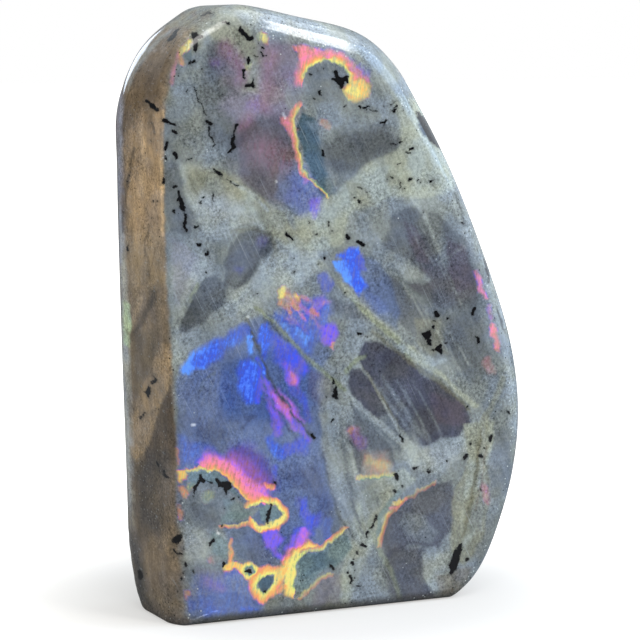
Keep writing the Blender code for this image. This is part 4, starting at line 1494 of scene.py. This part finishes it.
    def fringe(self, drawn: np.ndarray, mark: Fringe) -> tuple[np.ndarray, np.ndarray]:
        """How a fringe lies over the drawn points.

        Args:
            drawn: Rows of u, v.
            mark: The fringe.

        Returns:
            How far each point lies in it, 0 to 1, and the hue there.
        """
        line = path(mark.line)
        reach = mark.reach or mark.width * 1.3
        room = reach * 1.4
        near = np.all((drawn > line.min(0) - room) & (drawn < line.max(0) + room), 1)
        depth = np.full(len(drawn), -99.0)
        if near.any():
            depth[near] = across(drawn[near], line)
        share = rise(-1.2, 0.6, depth) * rise(reach * 1.25, reach * 0.7, depth)
        run = 1 - np.exp(-1.3 * np.maximum(depth, 0) / mark.width)
        return share, mark.first.value + (mark.last.value - mark.first.value) * run

    def flash(self, drawn: np.ndarray) -> tuple[np.ndarray, np.ndarray]:
        """The flash at the drawn points.

        Args:
            drawn: Rows of u, v.

        Returns:
            The flash's phase, which is its place along the run of hues, and its strength.
        """
        ragged = self.stirred(drawn, self.glow_edge)
        combed = self.stirred(self.combed(drawn), self.fringe_edge)
        phase = np.full(len(drawn), Hue.INDIGO.value)
        strength = np.zeros(len(drawn))
        for mark in FLASHES:
            if isinstance(mark, Fringe):
                share, hue = self.fringe(combed, mark)
            else:
                gap = self.patch(ragged, mark.line, mark.radii, mark.feather + 1)
                share = rise(mark.feather / 2, -mark.feather / 2, np.minimum(gap, FAR_OFF))
                hue = mark.hue.value
            kept, laid = strength * (1 - share), mark.strength * share
            phase = (phase * (kept + TINY) + hue * laid) / (kept + laid + TINY)
            strength = kept + laid
        return phase, strength

    def inclusions(self, drawn: np.ndarray) -> np.ndarray:
        """How far the drawn points lie outside the black inclusions.

        Args:
            drawn: Rows of u, v.

        Returns:
            The distance of each point in units of the drawing, below zero inside.
        """
        ragged = self.stirred(drawn, self.speck_edge)
        nearest = np.full(len(drawn), self.speck_reach)
        for speck in SPECKS + FLANK_SPECKS:
            fuller = 0.35 * rise(0.8, 1.6, np.array(max(speck.radii)))
            gap = self.patch(ragged, speck.line, speck.radii, self.speck_reach)
            nearest = np.minimum(nearest, gap - fuller)
        return np.maximum(nearest, -self.speck_reach)

    def fields(self, points: np.ndarray, normals: np.ndarray) -> Fields:
        """The markings at points of the skin.

        Args:
            points: Rows of x, y, z in metres.
            normals: The outward normal at each.

        Returns:
            The fields, in the order of the points.
        """
        noise.seed_set(self.noise_seed)
        past = np.maximum(points[:, 1] - self.show_plane - self.drawn_depth, 0)
        carried = points - np.stack([-self.lean[0] * past, past, -self.lean[1] * past], 1)
        left = rise(*self.left_turn, -normals[:, 0])
        drawn = self.sight.draw(carried + (points - carried) * left[:, None])
        wander = np.array([noise.noise((u / 5, v / 9, 3.3)) for u, v in drawn])
        flank = rise(*self.flank_turn, self.flank_wander * wander - normals[:, 0])
        flank = flank * rise(*self.back_turn, normals[:, 1])
        turned = rise(*self.sight_turn, normals @ self.sight.axes()[2]) * (1 - left)

        phase, strength = self.flash(drawn)
        strength = strength * (1 - flank)
        strength = strength * (1 - (1 - self.far_flash) * rise(*self.far_depth, past) * (1 - left))
        strength = strength * (1 - self.rim_fade * turned * rise(*self.rim_turn, normals[:, 1]))
        strength = strength * rise(*self.foot[::-1], points[:, 2])

        inclusion = self.inclusions(drawn)
        lost = np.maximum(rise(*self.speck_depth, past), turned) * (1 - flank)
        inclusion = inclusion + (self.speck_reach - inclusion) * lost

        # Painted shade: the body darkens towards the foot, under the base rounding.
        shade = self.foot_shade * rise(*self.foot, points[:, 2])
        body = self.over(shade, self.feldspar(drawn, flank, turned), Tone.PEAT)
        return Fields(body, phase, strength, inclusion, flank)


@dataclass(frozen=True)
class Grain:
    """A noise in the stone: its waves per millimetre, its octaves and how rough they are.

    Where it has a stretch, the noise is leant that many degrees about Y and scaled along x, y and z.
    """

    scale: float = 1.0
    detail: float = 2.0
    roughness: float = 0.5
    lean: float = 0.0
    stretch: tuple[float, ...] = ()


class Ease(NamedTuple):
    """A value eased from low, where what drives it is at start, to high, where that is at end."""

    start: float
    end: float
    low: float = 0.0
    high: float = 1.0


@dataclass(frozen=True)
class NodeBench:
    """A node tree, and short ways to put nodes down in it and join them up."""

    tree: bpy.types.NodeTree

    def put(
        self, kind: str, inputs: dict[str | int, object] | None = None, **settings: object
    ) -> bpy.types.Node:
        """Puts a node down.

        Args:
            kind: The node's type.
            inputs: For its sockets by name or place, another node's socket or a plain value.
            settings: The node's own properties.

        Returns:
            The node.
        """
        node = self.tree.nodes.new(kind)
        for name, value in settings.items():
            setattr(node, name, value)
        for socket, value in (inputs or {}).items():
            self.feed(node.inputs[socket], value)
        return node

    def feed(self, socket: Socket, value: object) -> None:
        """Joins another node's socket to this one, or sets a plain value on it.

        Args:
            socket: The socket to feed.
            value: The other socket, or the value.
        """
        if isinstance(value, Socket):
            self.tree.links.new(value, socket)
        else:
            socket.default_value = value

    def calc(self, operation: str, *values: object) -> Socket:
        """The result of a Math node on one to three numbers."""
        return self.put("ShaderNodeMath", dict(enumerate(values)), operation=operation).outputs[0]

    def times(self, vector: Socket, factor: object) -> Socket:
        """A vector or a colour times a number."""
        return self.put("ShaderNodeVectorMath", {0: vector, 3: factor}, operation="SCALE").outputs[0]

    def span(self, value: Socket, start: float, end: float, low: float = 0.0, high: object = 1.0) -> Socket:
        """A value eased from low to high while it runs from start to end."""
        inputs = {0: value, 1: start, 2: end, 3: low, 4: high}
        return self.put("ShaderNodeMapRange", inputs, interpolation_type="SMOOTHSTEP").outputs[0]

    def mix(self, share: object, first: object, second: object, blend: str = "MIX") -> Socket:
        """Two colours mixed.

        Args:
            share: How much of the second there is, 0 to 1.
            first: The colour beneath.
            second: The colour laid over it.
            blend: How it is laid.

        Returns:
            The mixed colour.
        """
        node = self.put("ShaderNodeMix", data_type="RGBA", blend_type=blend)
        for place, value in ((0, share), (6, first), (7, second)):
            self.feed(node.inputs[place], value)
        return node.outputs[2]

    def grain(self, place: Socket, grain: Grain) -> Socket:
        """Noise about 0.5.

        Args:
            place: Where in the stone, in millimetres.
            grain: The noise.

        Returns:
            Its value there.
        """
        if grain.stretch:
            inputs = {"Vector": place, "Rotation": (0.0, math.radians(grain.lean), 0.0)}
            leant = self.put("ShaderNodeMapping", inputs, vector_type="POINT").outputs[0]
            inputs = {0: leant, 1: grain.stretch}
            place = self.put("ShaderNodeVectorMath", inputs, operation="MULTIPLY").outputs[0]
        inputs = {"Vector": place, "Scale": grain.scale, "Detail": grain.detail}
        inputs["Roughness"] = grain.roughness
        return self.put("ShaderNodeTexNoise", inputs, noise_dimensions="3D").outputs[0]

    def swing(self, place: Socket, grain: Grain) -> Socket:
        """Noise about zero at the place."""
        return self.calc("SUBTRACT", self.grain(place, grain), 0.5)

    def field(self, name: str) -> Socket:
        """One of the numbers that the skin carries."""
        node = self.put("ShaderNodeAttribute", attribute_name=name, attribute_type="GEOMETRY")
        return node.outputs["Fac"]

    def ramp(self, value: Socket, stops: tuple[tuple[float, Colour], ...]) -> Socket:
        """The colour at a value along a run of stops.

        Args:
            value: The value, 0 to 1.
            stops: Each stop's place and display colour.

        Returns:
            The colour there.
        """
        node = self.put("ShaderNodeValToRGB", {0: value})
        elements = node.color_ramp.elements
        while len(elements) < len(stops):
            elements.new(0.5)
        for element, (position, colour) in zip(elements, stops):
            element.position = position
            element.color = opaque(colour)
        return node.outputs[0]


# The run of the flash's colours, as display colours.
FLASH_RUN = (
    (0.00, (70, 104, 112)),
    (0.10, (78, 140, 138)),
    (0.18, (176, 200, 138)),
    (0.25, (238, 232, 128)),
    (0.31, (250, 230, 130)),
    (0.37, (250, 202, 112)),
    (0.43, (246, 164, 106)),
    (0.51, (250, 146, 146)),
    (0.58, (246, 138, 182)),
    (0.65, (184, 112, 228)),
    (0.72, (138, 104, 236)),
    (0.80, (84, 90, 230)),
    (0.87, (60, 92, 226)),
    (0.95, (98, 150, 250)),
    (1.00, (104, 162, 254)),
)


@dataclass(frozen=True)
class Flecks:
    """Small round grains scattered through the stone, thicker in some places than in others.

    The grains are the cells of a pattern. A cell shows where its own random number is past a bound, and
    the bound itself is eased over the patches.
    """

    scale: float
    shown: str
    edge: Ease
    patches: Grain
    bound: Ease
    tone: Colour

    def share(self, bench: NodeBench, place: Socket) -> Socket:
        """How far each place lies in a grain.

        Args:
            bench: The node tree to build in.
            place: Where in the stone, in millimetres.

        Returns:
            The share, 0 to 1.
        """
        inputs = {"Vector": place, "Scale": self.scale}
        cells = bench.put("ShaderNodeTexVoronoi", inputs, feature="F1").outputs
        bound = bench.span(bench.grain(place, self.patches), *self.bound)
        pick = bench.calc(self.shown, cells["Color"], bound)
        return bench.calc("MULTIPLY", bench.span(cells["Distance"], *self.edge), pick)


@dataclass(frozen=True)
class LabradoriteFinish:
    """Polished labradorite: mottled feldspar, its flash, black inclusions, and a clear polish."""

    ior: float = 1.50
    sheen: Grain = Grain(0.5, 3.0)
    sheen_ease: Ease = Ease(0.35, 0.7, 0.07, 0.15)
    waves: Grain = Grain(0.22)
    wave_height: float = 0.05 * MM
    wave_strength: float = 0.25
    speck_height: float = 0.05

    cloud: Grain = Grain(0.15, 4.0)
    cloud_depth: float = 1.1
    grit: Grain = Grain(2.0, 3.0, 0.7)
    grit_depth: float = 1.9
    grit_patches: Grain = Grain(0.12)
    grit_ease: Ease = Ease(0.35, 0.65, 0.6, 1.4)
    fibre: Grain = Grain(1.0, 4.0, 0.6, 24.0, (1.5, 0.5, 0.14))
    fibre_depth: float = 0.7
    darkest: float = 0.25
    warmth: Grain = Grain(0.18, 3.0)
    warmth_ease: Ease = Ease(0.35, 0.65)
    warm: Light = (1.06, 1.01, 0.92, 1.0)
    cool: Light = (0.96, 0.98, 1.08, 1.0)

    scratches: Grain = Grain(1.0, 3.0, 0.5, 27.0, (3.2, 0.5, 0.06))
    scratch_ease: Ease = Ease(0.62, 0.74, 0.0, 0.26)
    scratch_tone: Colour = (176, 186, 190)
    worn: Grain = Grain(0.05, 1.0)
    worn_ease: Ease = Ease(0.46, 0.60, 0.12, 1.0)
    flank_lines: Grain = Grain(1.0, 5.0, 0.65, 0.0, (0.7, 0.7, 0.22))
    flank_ease: Ease = Ease(0.30, 0.70, 0.84, 1.16)

    lamellae: Grain = Grain(1.0, 5.0, 0.7, -12.0, (1.8, 0.8, 0.26))
    blotches: Grain = Grain(1.3, 3.0, 0.6)
    hue_swing: float = 0.20
    blotch_share: float = 0.5
    broken: Ease = Ease(0.55, 0.98, 0.50, 1.25)

    ink: Colour = INK
    speck_edge: Grain = Grain(4.5, 3.0, 0.75)
    speck_swing: float = 3.4
    speck_ease: Ease = Ease(0.7, -0.5)
    halo_ease: Ease = Ease(4.0, 0.5, 0.0, 0.22)
    halo_tone: Colour = (70, 72, 74)
    dots: Flecks = Flecks(
        scale=1.0,
        shown="LESS_THAN",
        edge=Ease(0.22, 0.11, 0.0, 0.85),
        patches=Grain(0.10),
        bound=Ease(0.42, 0.66, 0.07, 0.62),
        tone=INK,
    )
    dust: Flecks = Flecks(
        scale=1.3,
        shown="GREATER_THAN",
        edge=Ease(0.28, 0.12, 0.0, 0.85),
        patches=Grain(0.09),
        bound=Ease(0.40, 0.64, 0.87, 0.48),
        tone=(205, 212, 210),
    )
    dust_on_flank: float = 0.3

    def material(self) -> bpy.types.Material:
        """Builds the material over the fields that the skin carries.

        Returns:
            The material.
        """
        material = bpy.data.materials.new("polished_labradorite")
        material.use_nodes = True
        material.node_tree.nodes.clear()
        bench = NodeBench(material.node_tree)
        where = bench.put("ShaderNodeTexCoord").outputs["Object"]
        place = bench.times(where, 1 / MM)
        flank = bench.field("flank")
        body = self.feldspar(bench, place, flank)
        body = self.flashing(bench, place, body)
        body, dark = self.inclusions(bench, place, body, flank)
        inputs = {
            "Base Color": body,
            "Roughness": bench.span(bench.grain(place, self.sheen), *self.sheen_ease),
            "IOR": self.ior,
            "Normal": self.surface(bench, place, dark),
        }
        shader = bench.put("ShaderNodeBsdfPrincipled", inputs).outputs[0]
        bench.put("ShaderNodeOutputMaterial", {"Surface": shader})
        return material

    def feldspar(self, bench: NodeBench, place: Socket, flank: Socket) -> Socket:
        """The colour of the feldspar, mottled, grained and scratched.

        Args:
            bench: The node tree to build in.
            place: Where in the stone, in millimetres.
            flank: How far each point belongs to the flank.

        Returns:
            The colour.
        """
        body = bench.put("ShaderNodeAttribute", attribute_name="body").outputs["Color"]
        patches = bench.span(bench.grain(place, self.grit_patches), *self.grit_ease)
        grit = bench.calc("MULTIPLY", bench.swing(place, self.grit), patches)
        shade = bench.calc("MULTIPLY_ADD", bench.swing(place, self.cloud), self.cloud_depth, 1.0)
        shade = bench.calc("MULTIPLY_ADD", grit, self.grit_depth, shade)
        shade = bench.calc("MULTIPLY_ADD", bench.swing(place, self.fibre), self.fibre_depth, shade)
        body = bench.times(body, bench.calc("MAXIMUM", shade, self.darkest))
        warmth = bench.span(bench.grain(place, self.warmth), *self.warmth_ease)
        body = bench.mix(1.0, body, bench.mix(warmth, self.warm, self.cool), "MULTIPLY")
        lines = bench.span(bench.grain(place, self.scratches), *self.scratch_ease)
        worn = bench.span(bench.grain(place, self.worn), *self.worn_ease)
        body = bench.mix(bench.calc("MULTIPLY", lines, worn), body, opaque(self.scratch_tone))
        striped = bench.span(bench.grain(place, self.flank_lines), *self.flank_ease)
        return bench.mix(flank, body, bench.times(body, striped))

    def flashing(self, bench: NodeBench, place: Socket, body: Socket) -> Socket:
        """The body with its flash, broken up along the feldspar's lamellae.

        Args:
            bench: The node tree to build in.
            place: Where in the stone, in millimetres.
            body: The feldspar's colour.

        Returns:
            The colour.
        """
        lamellae = bench.grain(place, self.lamellae)
        blotches = bench.grain(place, self.blotches)
        phase = bench.field("flash_phase")
        for pattern in (blotches, lamellae):
            swing = bench.calc("SUBTRACT", pattern, 0.5)
            phase = bench.calc("MULTIPLY_ADD", swing, self.hue_swing, phase)
        pattern = bench.calc("ADD", lamellae, bench.calc("MULTIPLY", blotches, self.blotch_share))
        broken = bench.span(pattern, *self.broken)
        share = bench.calc("MULTIPLY", bench.field("flash_strength"), broken)
        return bench.mix(bench.calc("MINIMUM", share, 1.0), body, bench.ramp(phase, FLASH_RUN))

    def inclusions(
        self,
        bench: NodeBench,
        place: Socket,
        body: Socket,
        flank: Socket,
    ) -> tuple[Socket, Socket]:
        """The body with its black inclusions and the dark and bright grains between them.

        Args:
            bench: The node tree to build in.
            place: Where in the stone, in millimetres.
            body: The colour so far.
            flank: How far each point belongs to the flank, where there is less dust.

        Returns:
            The colour, and how far each point is inclusion.
        """
        swing = bench.swing(place, self.speck_edge)
        gap = bench.calc("MULTIPLY_ADD", swing, self.speck_swing, bench.field("inclusion"))
        dark = bench.span(gap, *self.speck_ease)
        body = bench.mix(bench.span(gap, *self.halo_ease), body, opaque(self.halo_tone))
        body = bench.mix(self.dots.share(bench, place), body, opaque(self.dots.tone))
        spared = bench.span(flank, 0.0, 1.0, 1.0, self.dust_on_flank)
        dust = bench.calc("MULTIPLY", self.dust.share(bench, place), spared)
        body = bench.mix(dust, body, opaque(self.dust.tone))
        return bench.mix(dark, body, opaque(self.ink)), dark

    def surface(self, bench: NodeBench, place: Socket, dark: Socket) -> Socket:
        """The polish's faint unevenness, with the inclusions a little proud.

        Args:
            bench: The node tree to build in.
            place: Where in the stone, in millimetres.
            dark: How far each point is inclusion.

        Returns:
            The shading normal.
        """
        height = bench.calc("MULTIPLY_ADD", dark, self.speck_height, bench.grain(place, self.waves))
        inputs = {"Height": height, "Strength": self.wave_strength, "Distance": self.wave_height}
        return bench.put("ShaderNodeBump", inputs).outputs[0]


@dataclass(frozen=True)
class PolishedLabradorite:
    """The stone as it is shown: its skin, its markings and its finish."""

    skin: StoneSkin
    markings: Markings
    finish: LabradoriteFinish

    def build(self) -> bpy.types.Object:
        """Builds the stone in place, marks it and finishes it.

        Returns:
            The stone.
        """
        stone = self.skin.build(self.markings)
        mesh = stone.data
        count = len(mesh.vertices)
        points, normals = np.empty(count * 3, np.float32), np.empty(count * 3, np.float32)
        mesh.vertices.foreach_get("co", points)
        mesh.vertex_normals.foreach_get("vector", normals)
        rows = (flat.reshape(-1, 3).astype(float) for flat in (points, normals))
        self.markings.fields(*rows).lay_on(mesh)
        mesh.materials.append(self.finish.material())
        return stone


@dataclass(frozen=True)
class Softbox:
    """A studio light: a panel that faces the stone, rolled by some degrees about the way it faces."""

    name: str
    place: tuple[float, float, float]
    size: Pair
    watts: float
    tint: tuple[float, float, float] = (1.0, 1.0, 1.0)
    aim: tuple[float, float, float] = (0.0, 0.0, 0.06)
    roll: float = 0.0
    mirrored: bool = True

    def build(self) -> bpy.types.Object:
        """Hangs the light, out of the camera's sight, and out of the polish's unless it is mirrored.

        Returns:
            The light.
        """
        data = bpy.data.lights.new(self.name, "AREA")
        data.shape = "RECTANGLE"
        data.size, data.size_y = self.size
        data.energy = self.watts
        data.color = self.tint
        light = bpy.data.objects.new(self.name, data)
        turn = (Vector(self.aim) - Vector(self.place)).to_track_quat("-Z", "Y")
        turn = turn @ Quaternion((0.0, 0.0, 1.0), math.radians(self.roll))
        light.matrix_world = Matrix.LocRotScale(Vector(self.place), turn, None)
        light.visible_camera = False
        light.visible_glossy = self.mirrored
        bpy.context.scene.collection.objects.link(light)
        return light


@dataclass(frozen=True)
class Studio:
    """A plain white floor in a white room, softboxes, and the camera.

    A pair is where a smooth step starts and ends: distances from the stone in metres or strengths of
    light for the floor, and parts of a unit direction for the room.
    """

    sight: Sight
    floor_side: float = 12.0
    floor_front: float = 0.20
    floor_tone: float = 0.30
    floor_mirrored: float = 0.18
    floor_tint: Light = (1.0, 0.985, 0.955, 1.0)
    floor_reach: Pair = (0.03, 0.10)
    floor_lift: Pair = (0.49, 1.25)
    room: float = 0.32
    front: Pair = (-0.75, -0.20)
    front_light: float = 0.10
    shaded_left: Pair = (-0.22, -0.40)
    shaded_back: Pair = (0.5, 0.8)
    shaded_light: float = 0.06
    above: Pair = (0.25, 0.75)
    above_light: float = 0.35
    right: Pair = (0.55, 0.85)
    right_level: Pair = (0.55, 0.25)
    right_light: float = 0.60
    room_tint: Light = (0.86, 0.94, 1.0, 1.0)
    white: Light = (1.0, 1.0, 1.0, 1.0)
    near_clip: float = 0.01
    far_clip: float = 50.0
    softboxes: tuple[Softbox, ...] = (
        Softbox("key", (-0.20, -0.62, 1.02), (0.52, 0.42), 4.2, (1.0, 0.98, 0.94)),
        Softbox("front", (0.310, -0.57, 0.486), (0.20, 0.36), 3.3, (1.0, 0.985, 0.955), mirrored=False),
        Softbox(
            "strip", (0.4545, -0.3415, 0.6145), (0.090, 0.42), 1.65, aim=(0.0, -0.0145, 0.1165), roll=-50.0
        ),
        Softbox("side", (0.66, -0.28, 0.47), (0.42, 0.50), 2.5, (0.42, 0.65, 1.0), (0.0, 0.0, 0.10)),
        Softbox("overhead", (0.42, -0.02, 0.80), (0.6, 0.45), 2.0, (0.86, 0.93, 1.0)),
        Softbox(
            "behind", (-0.0465, 0.75, 0.281), (0.223, 0.189), 0.48, (0.72, 0.84, 1.0), (-0.035, 0.0, 0.11)
        ),
        Softbox("left", (-0.85, 0.10, 0.30), (0.6, 0.6), 2.85, (1.0, 0.97, 0.93), mirrored=False),
    )

    def build(self) -> bpy.types.Object:
        """Lays the floor, lights it, and sets up the camera.

        Returns:
            The floor.
        """
        floor = self.floor()
        for softbox in self.softboxes:
            softbox.build()
        self.surroundings()
        self.camera()
        view = bpy.context.scene.view_settings
        view.view_transform, view.look = "Standard", "None"
        view.exposure, view.gamma = 0.0, 1.0
        return floor

    def floor(self) -> bpy.types.Object:
        """Lays a wide, matt white floor, lifted to white where the camera sees it away from the stone.

        Returns:
            The floor.
        """
        half, front = self.floor_side / 2, -self.floor_front
        mesh = bpy.data.meshes.new("studio_floor")
        corners = [(-half, front, 0), (half, front, 0), (half, half, 0), (-half, half, 0)]
        mesh.from_pydata(corners, [], [(0, 1, 2, 3)])
        mesh.materials.append(self.floor_white())
        floor = bpy.data.objects.new("studio_floor", mesh)
        bpy.context.scene.collection.objects.link(floor)
        return floor

    def floor_white(self) -> bpy.types.Material:
        """Builds the floor's finish, which is darker where the stone's polish mirrors it.

        Returns:
            The material.
        """
        material = bpy.data.materials.new("studio_white")
        material.use_nodes = True
        material.node_tree.nodes.clear()
        bench = NodeBench(material.node_tree)
        where = bench.put("ShaderNodeTexCoord").outputs["Object"]
        off = bench.put("ShaderNodeVectorMath", {0: where}, operation="LENGTH").outputs["Value"]
        rays = bench.put("ShaderNodeLightPath").outputs
        darker = self.floor_mirrored - self.floor_tone
        tone = bench.calc("MULTIPLY_ADD", rays["Is Glossy Ray"], darker, self.floor_tone)
        matt = bench.put("ShaderNodeBsdfDiffuse", {"Color": tone}).outputs[0]
        lift = bench.span(off, *self.floor_reach, *self.floor_lift)
        inputs = {"Color": self.floor_tint, "Strength": bench.calc("MULTIPLY", rays["Is Camera Ray"], lift)}
        glow = bench.put("ShaderNodeEmission", inputs).outputs[0]
        both = bench.put("ShaderNodeAddShader", {0: matt, 1: glow}).outputs[0]
        bench.put("ShaderNodeOutputMaterial", {"Surface": both})
        return material

    def surroundings(self) -> None:
        """Builds the room: white to the eye, and for its light lit from above and from the right.

        Its front is darker, and so is its back left, which keeps the far edge of the flank quiet.
        """
        world = bpy.data.worlds.new("studio")
        bpy.context.scene.world = world
        world.use_nodes = True
        world.node_tree.nodes.clear()
        bench = NodeBench(world.node_tree)
        way = bench.put("ShaderNodeTexCoord").outputs["Generated"]
        x, y, z = bench.put("ShaderNodeSeparateXYZ", {0: way}).outputs
        shaded = bench.calc("MULTIPLY", bench.span(x, *self.shaded_left), bench.span(y, *self.shaded_back))
        back = bench.calc("MULTIPLY_ADD", shaded, self.shaded_light - self.room, self.room)
        room = bench.span(y, *self.front, self.front_light, back)
        above = bench.span(z, *self.above, 0.0, self.above_light)
        right = bench.span(x, *self.right, 0.0, self.right_light)
        lit = bench.calc("MULTIPLY_ADD", right, bench.span(z, *self.right_level), above)
        seen = bench.put("ShaderNodeLightPath").outputs["Is Camera Ray"]
        inputs = {
            "Color": bench.mix(seen, self.room_tint, self.white),
            "Strength": bench.calc("MAXIMUM", bench.calc("ADD", room, lit), seen),
        }
        light = bench.put("ShaderNodeBackground", inputs).outputs[0]
        bench.put("ShaderNodeOutputWorld", {"Surface": light})

    def camera(self) -> None:
        """Sets up the camera at the stone's front left."""
        data = bpy.data.cameras.new("view")
        data.sensor_fit = "HORIZONTAL"
        data.angle = self.sight.angle
        data.clip_start, data.clip_end = self.near_clip, self.far_clip
        camera = bpy.data.objects.new("view", data)
        right, up, back = (Vector(axis) for axis in self.sight.axes())
        turn = Matrix((right, up, back)).transposed().to_quaternion()
        camera.matrix_world = Matrix.LocRotScale(Vector(self.sight.eye()), turn, None)
        bpy.context.scene.collection.objects.link(camera)
        bpy.context.scene.camera = camera


def main() -> None:
    """Builds the stone and the studio round it."""
    logging.basicConfig(level=logging.INFO, format="%(name)s: %(message)s")
    sight = Sight()
    low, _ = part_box(STONE)
    stone = PolishedLabradorite(StoneSkin(), Markings(sight, low[1]), LabradoriteFinish()).build()
    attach(stone, BODY)
    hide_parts(STONE)
    log.info("%s: %d vertices, %d faces", stone.name, len(stone.data.vertices), len(stone.data.polygons))
    floor = Studio(sight).build()
    log.info("%s: %.1f m a side", floor.name, floor.dimensions.x)


if __name__ == "__main__":
    main()
